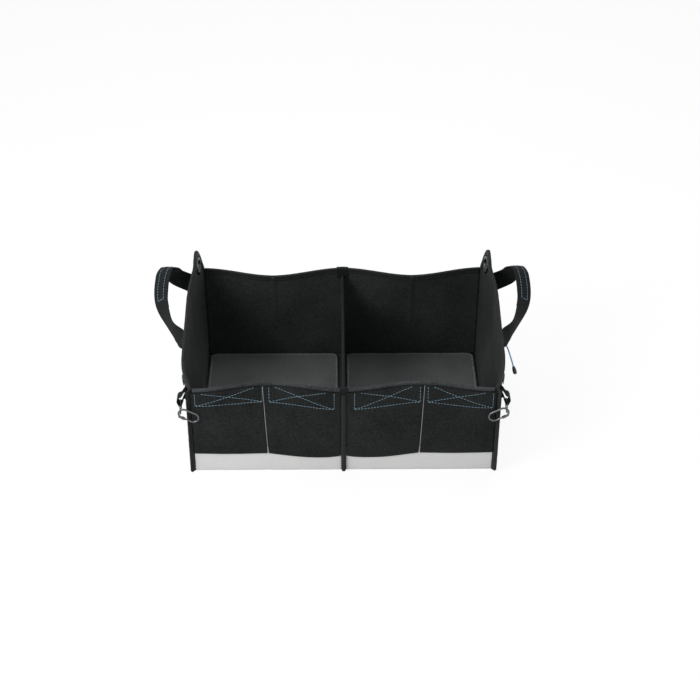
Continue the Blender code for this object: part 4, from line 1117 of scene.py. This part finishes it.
def buildPockets():
    form = pocketForm
    for index, (left, right) in enumerate(pocketEnds):
        hemZ = [form["hemLow"] + d for d in (-0.0018, -0.0009, 0, 0.0009, 0.0018)]

        def heights(low):
            body = steps(low, form["hemLow"] - 0.0030, 34)
            return body + hemZ + steps(form["hemLow"] + 0.0030, form["top"], 8)

        count = len(heights(form["bottom"]))

        def cloth(x, row, index=index, left=left, right=right):
            t = (x - left) / (right - left)
            z = heights(pocketLow(index, t))[row]
            return pocketPoint(index, x + seamShift(x, z), z)

        pocket = clothSheet(f"front_pocket_cloth_{index + 1}", steps(left, right, 46), range(count),
                            cloth, layOn(0, 2), form["cloth"], (0, -1, 0))
        dress(pocket, pocketCloth,
              replaced=[f"front_pocket_{index + 1}", f"pocket_closure_{index + 1}"])
        boxLeft, boxRight, lowLeft, lowRight = stitchBoxes[index]
        high = form["top"] - 0.0012
        span = boxRight - boxLeft
        # three sides of a box, then the two long strokes of the X
        lines = [((boxLeft, high), (boxLeft, lowLeft)), ((boxLeft, lowLeft), (boxRight, lowRight)),
                 ((boxRight, lowRight), (boxRight, high)),
                 ((boxLeft + 0.09 * span, high), (boxRight, lowRight)),
                 ((boxRight - 0.12 * span, high), (boxLeft, lowLeft))]

        def sewAt(x, z, index=index):
            return pocketPoint(index, x, z), wayOut(pocketPoint, index, x, z)

        sewRows(f"pocket_hem_stitching_{index + 1}", [sewLine(sewAt, *line) for line in lines],
                stitchThread)
    for label, side in sides:
        x = side * form["seam"]
        path = [onFront(x + seamShift(x, z), z, form["room"] + form["seamCordRoom"])
                for z in steps(form["bottom"] - 0.001, form["top"], 60)]
        # the cord's pale grey is a painted highlight along the seam
        cord = tube(label + "_pocket_seam_cord", path, form["seamCordRadius"], Vector((1, 0, 0)), 8)
        dress(cord, seamHighlightCord, replaced=[label + "_pocket_seam"])


buildPockets()
print("pockets made")


# Carrying handles of webbing, doubled and stitched at the grip
handleForm = {
    "width": 0.038,
    "thick": 0.0022,
    "gripTilt": math.radians(42),
    "gripThick": 0.003,
    "gripWidth": 0.032,
    "gripStart": 3.6,      # in guide points along the handle
    "gripEnd": 6.1,
    "rowStart": 4.00,
    "rowEnd": 5.80,
    "rowHalf": 0.0082,
    "seamHalf": 0.0150,
    "seamSteps": 10,
    "samples": 12,
    "curl": 0.0010,
    "wave": 0.0005,
    "gripTuck": 0.0004,
    "gap": 0.0003,
}
# distance out from the side, depth and height, then how far the face turns up and back
handleGuides = (
    (0.000, 0.136, 0.170, 0, 0),       # low end of the front seam
    (0.003, 0.168, 0.198, 10, 0),      # top of the front seam
    (0.010, 0.188, 0.206, 28, 11),     # folds out from the side
    (0.034, 0.216, 0.222, -5, -41),    # front leg
    (0.054, 0.262, 0.251, 37, -41),    # front of the grip
    (0.052, 0.315, 0.283, 76, 26),     # rear of the grip
    (0.040, 0.343, 0.281, 107, 54),    # turns over at the top
    (0.030, 0.360, 0.247, 16, 58),     # rear leg
    (0.003, 0.374, 0.213, 4, 26),      # top of the rear seam
    (0.000, 0.370, 0.183, 0, 13),      # low end of the rear seam
)


def handleFrames(side):
    form = handleForm
    points, faces = [], []
    for index, (out, depth, z, up, back) in enumerate(handleGuides):
        up, back = math.radians(up), math.radians(back)
        y = depth - boxForm["outerDepth"]
        sewn = index < 2 or index > 7
        reach = sideX(y, z) if sewn else boxForm["halfWidth"] + boxForm["bulge"]
        points.append(Vector((side * (reach + out), y, z)))
        faces.append(Vector((side * math.cos(back) * math.cos(up), math.sin(back),
                             math.cos(back) * math.sin(up))))
    path = smoothPath(points, form["samples"])
    looks = smoothPath(faces, form["samples"])
    frames = []
    for i, place in enumerate(path):
        along = heading(path, i)
        look = squared(looks[i], along)
        frames.append((place, look, look.cross(along).normalized()))
    return frames


def clearOfSide(side, place, room):
    if place.z > sideTop(place.y) + boxForm["tape"]:
        return place
    least = sideX(place.y, place.z) + room
    return Vector((side * max(abs(place.x), least), place.y, place.z))


def buildHandles():
    form = handleForm
    marks = {key: round(form[key] * form["samples"])
             for key in ("gripStart", "gripEnd", "rowStart", "rowEnd")}
    for label, side in sides:
        frames = handleFrames(side)
        lengths = lengthsAlong([place for place, _, _ in frames])

        def strap(u, v, side=side, frames=frames):
            place, look, across = frames[round(u)]
            curl = -form["curl"] * (2 * v) ** 2 + form["wave"] * wander(u * 0.004, v, 0.03, 12)
            return clearOfSide(side, place + look * curl + across * v * form["width"], form["gap"])

        def grip(u, v, frames=frames):
            place, look, across = frames[round(u)]
            curl = -form["curl"] * (2 * v) ** 2
            return place + look * (curl - form["gripTuck"]) + across * v * form["gripWidth"]

        def sewn(index, across, frames=frames, strap=strap):
            look = frames[index][1]
            return strap(index, across / form["width"]) + look * form["thick"], look

        def box(first, last, half, count, sewn=sewn):
            # two rows along the strap, then one across it at each end
            rows = [[sewn(i, across) for i in range(first, last + 1)] for across in (-half, half)]
            return rows + [[sewn(i, across) for across in steps(-half, half, count)] for i in (first, last)]

        outward = (side * math.sin(form["gripTilt"]), 0, math.cos(form["gripTilt"]))
        handle = clothSheet(label + "_webbing_handle", range(len(frames)), steps(-0.5, 0.5, 12),
                            strap, layAlong(lengths, form["width"]), form["thick"], outward, 1)
        dress(softEdges(handle, 0.0007), webbing, replaced=[label + "_handle"])
        under = clothSheet(label + "_grip_webbing", range(marks["gripStart"], marks["gripEnd"] + 1),
                           steps(-0.5, 0.5, 10), grip, layAlong(lengths, form["gripWidth"]),
                           form["gripThick"], outward)
        dress(softEdges(under, 0.0009), webbing, replaced=[label + "_grip"])
        sewRows(label + "_grip_stitching", box(marks["rowStart"], marks["rowEnd"], form["rowHalf"], 4),
                stitchThread)
        rows = []
        half, count = form["seamHalf"], form["seamSteps"] - 1
        for first in (1, len(frames) - 2 - count):
            rows += box(first, first + count, half, 8)
            # the X between the box's corners
            rows += [[sewn(first + k, way * half * (1 - 2 * k / count)) for k in range(count + 1)]
                     for way in (-1, 1)]
        sewRows(label + "_handle_seams", rows, darkThread)


buildHandles()
print("handles made")


# Hook straps, their rings and the snap hooks that hang at the front corners
hookForm = {
    "strapWidth": 0.020,
    "strapThick": 0.0014,
    "seat": 0.016,
    "sewnLow": 0.172,
    "sewnHigh": 0.190,
    "ringReach": 0.0185,
    "ringBar": 0.1600,
    "ringTall": 0.0195,
    "ringWire": 0.0013,
    "ringCentre": -0.0035,
    "ringCorner": 0.0025,
    "room": 0.0004,
    "wire": 0.0020,
    "length": 0.046,
    "width": 0.025,
    "tilt": math.radians(28),
    "stand": 0.0102,
    "pivot": 0.0080,
    "lug": 0.0026,
    "gateWire": 0.0017,
    "gap": 0.0003,
    "finRoom": 0.0015,
    "noseRoom": 0.0006,
    "lugThick": 0.0016,
    "cheekThick": 0.0010,
    "cheekLength": 0.0046,
    "cheekStand": 0.0016,
}
# radius and height round half of the gate's rivet, which is the same below
rivetProfile = ((0.00001, 0.0026), (0.0010, 0.00255), (0.0014, 0.0023), (0.0008, 0.0022))


def strapPath():
    form = hookForm
    barX = form["ringReach"] + form["ringWire"]
    barZ = form["ringBar"] + form["ringTall"]
    eye = form["ringWire"] + form["room"]
    seatY = form["seat"] - boxForm["outerDepth"]
    seat = sideX(seatY, form["sewnHigh"]) - boxForm["halfWidth"] + form["gap"] + form["strapThick"]
    points = [(seat, form["sewnLow"]), (seat, form["sewnHigh"]),
              (barX * 0.62, barZ + 0.0195), (barX * 1.07, barZ + 0.0185), (barX * 1.25, barZ + 0.0095)]
    points += [(barX + eye * c, barZ + eye * s) for c, s in arc(0, -math.pi, 4)]
    points += [(barX * 0.72, barZ + 0.0055), (seat + 0.0040, form["sewnHigh"] - 0.0064),
               (seat + 0.0010, form["sewnHigh"] - 0.0120), (seat + 0.0003, form["sewnLow"])]
    return smoothPath([Vector((out, 0, z)) for out, z in points], 6)


def buildStraps():
    form = hookForm
    path = strapPath()
    lengths = lengthsAlong(path)
    # inside this distance the strap keeps clear of the corner's standing seam
    clear = finForm["reach"] / math.sqrt(2) + finForm["thick"] + form["finRoom"]
    full = form["ringReach"] - form["ringWire"] - 2 * form["room"]
    for label, side in sides:
        def strap(u, v, side=side):
            place = path[round(u)]
            share = clamp((place.x - clear) / (full - clear))
            middle = form["seat"] * (1 - share) + form["ringCentre"] * share
            y = middle - boxForm["outerDepth"] + v * form["strapWidth"]
            room = 2 * form["gap"] + form["strapThick"] + (form["gap"] if u > len(path) / 2 else 0)
            return clearOfSide(side, Vector((side * (boxForm["halfWidth"] + place.x), y, place.z)), room)

        piece = clothSheet(label + "_webbing_hook_strap", range(len(path)), steps(-0.5, 0.5, 8), strap,
                           layAlong(lengths, form["strapWidth"]), form["strapThick"],
                           (side * 0.3, 0, -1), 1)
        dress(softEdges(piece, 0.0004), webbing, replaced=[label + "_hook_strap"])
        half = form["strapWidth"] / 2 + form["room"] + form["ringCorner"]
        loop = denseLoop(roundedBox(-half, half, 0, form["ringTall"], form["ringCorner"], 6), 0.003)
        ring = tube(label + "_steel_ring", loop, form["ringWire"], Vector((0, 0, 1)), 12, closed=True)
        ring.rotation_euler = (math.pi / 2, 0, math.pi / 2)
        ring.location = (side * (boxForm["halfWidth"] + form["ringReach"] + form["ringWire"]),
                         form["ringCentre"] - boxForm["outerDepth"], form["ringBar"])
        dress(bakePlace(ring), hookSteel, replaced=[label + "_strap_ring"])


def hookPlace(side):
    form = hookForm
    place = Matrix.Translation((side * (boxForm["halfWidth"] + form["ringReach"] + form["ringWire"]),
                                -boxForm["outerDepth"] - form["stand"], form["ringBar"]))
    turn = Matrix.Rotation(-side * form["tilt"], 4, "Y") @ Matrix.Rotation(math.pi / 2, 4, "X")
    return place @ turn


def pill(radius, length, thick, count=10, edge=0.0003):
    # a flat link with two round ends, its edges eased, lying along X from the first centre
    outline = [(centre, c, s) for centre, start in ((length, -math.pi / 2), (0, math.pi / 2))
               for c, s in arc(start, math.pi, count)]
    half = thick / 2
    return [[Vector((centre + (radius - cut) * c, (radius - cut) * s, height)) for centre, c, s in outline]
            for height, cut in ((-half, edge), (-half + edge, 0), (half - edge, 0), (half, edge))]


def joinPieces(pieces):
    bpy.context.view_layer.update()
    verts, faces, cloth = [], [], []
    for piece in pieces:
        base = len(verts)
        verts += [piece.matrix_world @ v.co for v in piece.data.vertices]
        faces += [tuple(base + k for k in face.vertices) for face in piece.data.polygons]
        cloth += [(d.vector[0], d.vector[1]) for d in piece.data.attributes["cloth"].data]
    name = pieces[0].name
    for piece in pieces:
        bpy.data.objects.remove(piece)
    return addMesh(name, verts, faces, cloth)


def taper(name, path, wire, shares):
    # a round wire whose radius is a share of its full one at each place
    frames = pathFrames(path, Vector((0, 0, 1)))
    return sweep(name, [roundRing(*frame, wire * share, 14) for frame, share in zip(frames, shares)])


def link(name, length, thick, place, turned):
    piece = sweep(name, pill(hookForm["lug"], length, thick))
    piece.matrix_world = Matrix.Translation(place) @ Matrix.Rotation(math.pi if turned else 0.0, 4, "Z")
    return piece


def finishHook(pieces, name, side, body, node):
    piece = joinPieces(pieces)
    piece.name = name
    piece.matrix_world = hookPlace(side)
    dress(bakePlace(piece), hookSteel, body=body, replaced=[node])


def buildHooks():
    form = hookForm
    bend = form["width"] / 2 - form["wire"]
    behind = form["ringWire"] + form["wire"] + form["room"]
    front = form["length"] - behind - 2 * form["wire"]
    rearCentre, frontCentre = bend - behind, front - bend
    nose = frontCentre - form["noseRoom"]
    lugStart = form["pivot"] - form["lug"] - form["noseRoom"]
    profile = list(rivetProfile) + [(r, -z) for r, z in reversed(rivetProfile)]
    for label, side in sides:
        line = [(nose - 0.0016, -bend), (nose, -bend)]
        line += [(frontCentre + bend * c, bend * s) for c, s in arc(-math.pi / 2, math.pi, 24)]
        line += [(frontCentre + (rearCentre - frontCentre) * t, bend) for t in (0.25, 0.5, 0.75)]
        line += [(rearCentre + bend * c, bend * s) for c, s in arc(math.pi / 2, math.pi, 24)[:-1]]
        line.append((min(lugStart, rearCentre) - 0.0003, -bend))
        path = [Vector((-side * a, b, 0)) for a, b in line]
        body = taper(label + "_hook_wire", path, form["wire"], [0.78] + [1.0] * (len(path) - 1))
        pin = Vector((-side * form["pivot"], -bend, 0))
        lug = link(label + "_hook_lug", form["lug"] * 2 + form["noseRoom"], form["lugThick"], pin,
                   side < 0)
        finishHook([body, lug], label + "_steel_snap_hook", side, label + "_hook", label + "_snap_hook")
        tip = nose - form["pivot"] - 0.0007
        path = [pin + Vector((-side * d, 0, 0)) for d in (form["lug"] + 0.0009, 0.006, tip * 0.5,
                                                         tip - 0.001, tip)]
        rod = taper(label + "_gate_rod", path, form["gateWire"], (1.0, 1.0, 1.0, 1.0, 0.75))
        cheeks = [link(f"{label}_gate_cheek_{way}", form["cheekLength"], form["cheekThick"],
                       pin + Vector((0, 0, way * form["cheekStand"])), side > 0) for way in (-1, 1)]
        finishHook([rod] + cheeks, label + "_steel_gate", side, label + "_gate", label + "_hook_gate")
        rivet = turnedRing(label + "_gate_rivet", profile, 24)
        rivet.matrix_world = Matrix.Translation(pin)
        finishHook([rivet], label + "_gate_rivet", side, label + "_hook", label + "_gate_pin")


buildStraps()
buildHooks()
print("straps and hooks made")


# Zipped pocket on the right side, with its slider and pull cord
zipForm = {
    "front": 0.183,
    "length": 0.128,
    "height": 0.184,
    "tapeWidth": 0.020,
    "tapeThick": 0.0008,
    "toothPitch": 0.0022,
    "toothRadius": 0.0006,
    "toothOff": 0.0011,
    "toothStand": 0.0004,
    "pouchFront": 0.181,
    "pouchLength": 0.150,
    "pouchBottom": 0.066,
    "pouchFullness": 0.0035,
    "pouchCloth": 0.0012,
    "pouchFold": 0.0007,
    "pouchSeam": 0.0035,
    "gap": 0.0003,
    "sliderLength": 0.0100,
    "sliderWidth": 0.0085,
    "sliderHigh": 0.0045,
    "bailRise": 0.0032,
    "bailRadius": 0.0009,
    "cordRadius": 0.0015,
    "endLength": 0.017,
    "endRadius": 0.0042,
}
# places along the pull cord, from the slider's bail
cordSteps = ((0.0000, 0.000, 0.000), (0.0045, -0.002, -0.002), (0.0090, -0.008, -0.009),
             (0.0130, -0.015, -0.019), (0.0170, -0.021, -0.030), (0.0205, -0.026, -0.041))


def buildZip():
    form = zipForm
    front = form["front"] - boxForm["outerDepth"]
    rear = front + form["length"]
    centre = form["height"]

    def tape(u, v):
        return onSide(1, u, centre + v * form["tapeWidth"], form["gap"] + 0.0001 * wander(u, v, 0.02, 14))

    zipTape = clothSheet("zip_tape_cloth", steps(front, rear, 40), steps(-0.5, 0.5, 8), tape, layOn(1, 2),
                         form["tapeThick"], (1, 0, 0), 1)
    dress(softEdges(zipTape, 0.0002), bindingTape, replaced=["zip_tape"])
    verts, faces = [], []
    for k in range(round(form["length"] / form["toothPitch"]) - 2):
        for way in (-1, 1):
            y = front + (k + 1.5 + 0.25 * way) * form["toothPitch"]
            place = onSide(1, y, centre + way * form["toothOff"],
                           form["gap"] + form["tapeThick"] + form["toothStand"])
            path = [place + Vector((0, 0, d)) for d in (-0.0015, -0.0011, 0, 0.0011, 0.0015)]
            faces += ringFaces(len(path), 6, len(verts))
            for frame, share in zip(pathFrames(path, Vector((1, 0, 0))), (0.45, 0.9, 1.0, 0.9, 0.45)):
                verts += roundRing(*frame, form["toothRadius"] * share, 6)
    cloth = [(place.y, place.z) for place in verts]
    dress(addMesh("zip_coil_teeth", verts, faces, cloth), zipNylon)
    rows = [[(onSide(1, y, centre + z, form["gap"] + form["tapeThick"]), sideNormal(1, y, centre + z))
             for y in steps(front + 0.002, rear - 0.002, 30)]
            for z in (-0.36 * form["tapeWidth"], 0.36 * form["tapeWidth"])]
    sewRows("zip_tape_stitching", rows, darkThread)
    low, high = form["pouchBottom"], centre - form["tapeWidth"] / 2 - 0.0006
    start = form["pouchFront"] - boxForm["outerDepth"]

    def pouch(u, v):
        y = start + u * form["pouchLength"]
        z = low + v * (high - low)
        full = form["pouchFullness"] * (math.sin(math.pi * u) * math.sin(math.pi * v)) ** 0.7
        ease = min(1, 8 * u, 8 * (1 - u), 8 * v, 8 * (1 - v))
        fold = form["pouchFold"] * wander(y + 0.5 * z, z, 0.035, 15) * ease
        return onSide(1, y, z, 2 * form["gap"] + form["pouchCloth"] + full + fold)

    pocket = clothSheet("side_pocket_cloth", steps(0, 1, 44), steps(0, 1, 36), pouch, layOn(1, 2),
                        form["pouchCloth"], (1, 0, 0))
    dress(pocket, pocketCloth, replaced=["side_pocket"])
    inset = form["pouchSeam"]
    near, far = start + inset, start + form["pouchLength"] - inset
    corners = [(near, high - inset), (near, low + inset), (far, low + inset), (far, high - inset)]

    def sewAt(y, z):
        return pouch((y - start) / form["pouchLength"], (z - low) / (high - low)), sideNormal(1, y, z)

    sewRows("side_pocket_stitching", [sewLine(sewAt, *ends) for ends in zip(corners, corners[1:])],
            stitchThread)


def buildSlider():
    form = zipForm
    y = form["front"] + form["sliderLength"] - boxForm["outerDepth"]
    seat = onSide(1, y, form["height"], 2 * form["gap"] + form["tapeThick"])
    high = form["sliderHigh"]
    outline = []
    for c, s in circle(32):
        narrow = 1 - 0.18 * (0.5 - 0.5 * s)
        outline.append((math.copysign(abs(c) ** 0.55, c) * form["sliderWidth"] / 2 * narrow,
                        math.copysign(abs(s) ** 0.55, s) * form["sliderLength"] / 2))
    levels = ((0.0016, 0.93), (0.0019, 1.0), (high - 0.0006, 1.0), (high - 0.0001, 0.92), (high, 0.80))
    body = sweep("slider_body", [[seat + Vector((height, b * size, a * size)) for a, b in outline]
                                 for height, size in levels])
    span = form["sliderLength"] * 0.32
    top = high - form["bailRadius"]
    arch = [Vector((top + out * form["bailRise"], along * span, 0))
            for out, along in ((0, -1), (0.8, -0.7), (1, 0), (0.8, 0.7), (0, 1))]
    bail = tube("slider_bail", [seat + place for place in smoothPath(arch, 5)], form["bailRadius"],
                Vector((0, 0, 1)))
    slider = joinPieces([body, bail])
    slider.name = "zip_slider_casting"
    dress(slider, sliderPaint, body="slider", replaced=["zip_slider"])
    start = seat + Vector((high + form["bailRise"] + 0.0006, 0, 0))
    route = smoothPath([start + Vector(step) for step in cordSteps], 4)
    cord = tube("blue_pull_cord", route, form["cordRadius"], Vector((0, 0, 1)), 12)
    dress(cord, braidedCord, body="slider", replaced=["pull_cord"])
    along = (route[-1] - route[-2]).normalized()
    radius, length = form["endRadius"], form["endLength"]
    # shares of the end's radius and length, between the two ends of the moulding
    profile = [(0.0001, -0.0002), (radius * 0.52, -0.0002), (radius * 0.60, 0.0006)]
    profile += [(radius * wide, length * far) for wide, far in (
        (0.74, 0.12), (0.97, 0.34), (1, 0.5), (1, 0.80), (0.93, 0.90), (0.75, 0.97), (0.55, 1))]
    profile.append((0.0001, length))
    # six shallow flutes run down the end
    flutes = [1 - 0.05 * (0.5 + 0.5 * math.cos(math.pi * k / 2)) for k in range(24)]
    section = [(c * flute, s * flute) for (c, s), flute in zip(circle(24), flutes)]
    base = along.to_track_quat("Z", "Y").to_matrix()
    end = sweep("moulded_pull_end", [[route[-1] + base @ Vector((wide * a, wide * b, height))
                                      for a, b in section] for wide, height in profile])
    dress(end, pullPlastic, body="slider", replaced=["pull_end"])
    length = lengthsAlong(route)[-1]


buildZip()
buildSlider()
print("zip, slider and pull cord made")


# Every CAD node has its dressed piece
for name, node in nodes.items():
    if not node.hide_render:
        print("still a CAD node:", name)


# Floor, light and backdrop
stageForm = {
    "floor": "#fdfdfd",
    "floorHalf": 6.0,
    "floorGlow": 0.88,
    "worldLight": 0.50,
    "lamps": (
        # place, size, power
        ((-1.40, -1.20, 1.40), 1.0, 34.0),
        ((1.9, -1.9, 2.2), 1.8, 8.0),
        ((0.2, 0.9, 2.8), 2.0, 34.0),
    ),
    "aim": (0.0, 0.0, 0.12),
}


def backdropRays(tree):
    # 1 for rays that see the backdrop itself: from the camera, in gloss and through glass
    rays = addNode(tree, "ShaderNodeLightPath")
    seen = rays.outputs["Is Camera Ray"]
    for kind in ("Is Glossy Ray", "Is Transmission Ray"):
        both = addNode(tree, "ShaderNodeMath", None, {0: seen, 1: rays.outputs[kind]}, operation="MAXIMUM")
        seen = both.outputs["Value"]
    return seen


def buildStage():
    mesh = bpy.data.meshes.new("floor")
    half = stageForm["floorHalf"]
    mesh.from_pydata([(-half, -half, 0), (half, -half, 0), (half, half, 0), (-half, half, 0)], [],
                     [(0, 1, 2, 3)])
    floor = bpy.data.objects.new("floor", mesh)
    bpy.context.scene.collection.objects.link(floor)
    material, tree, shader = newMaterial("matt_white_floor")
    shader.inputs["Base Color"].default_value = hexColour(stageForm["floor"])
    shader.inputs["Roughness"].default_value = 0.9
    shader.inputs["Specular IOR Level"].default_value = 0.1
    share = addNode(tree, "ShaderNodeMath", {1: stageForm["floorGlow"]}, {0: backdropRays(tree)},
                    operation="MULTIPLY")
    glow = addNode(tree, "ShaderNodeEmission", {"Color": (1, 1, 1, 1), "Strength": 1.0})
    mix = addNode(tree, "ShaderNodeMixShader", None,
                  {0: share.outputs["Value"], 1: shader.outputs["BSDF"], 2: glow.outputs["Emission"]})
    tree.links.new(mix.outputs["Shader"], tree.nodes["Material Output"].inputs["Surface"])
    mesh.materials.append(material)
    world = bpy.data.worlds.new("studio")
    bpy.context.scene.world = world
    world.use_nodes = True
    tree = world.node_tree
    tree.nodes.clear()
    light, seen = (addNode(tree, "ShaderNodeBackground", {"Color": (1, 1, 1, 1), "Strength": strength})
                   for strength in (stageForm["worldLight"], 1.0))
    mix = addNode(tree, "ShaderNodeMixShader", None,
                  {0: backdropRays(tree), 1: light.outputs["Background"], 2: seen.outputs["Background"]})
    addNode(tree, "ShaderNodeOutputWorld", None, {"Surface": mix.outputs["Shader"]})
    for number, (place, size, power) in enumerate(stageForm["lamps"]):
        data = bpy.data.lights.new(f"softbox_{number}", "AREA")
        data.shape = "SQUARE"
        data.size = size
        data.energy = power
        lamp = bpy.data.objects.new(data.name, data)
        bpy.context.scene.collection.objects.link(lamp)
        lamp.location = place
        aim = Vector(stageForm["aim"]) - Vector(place)
        lamp.rotation_euler = aim.to_track_quat("-Z", "Y").to_euler()
    bpy.context.scene.view_settings.view_transform = "Standard"


buildStage()
print("stage made")
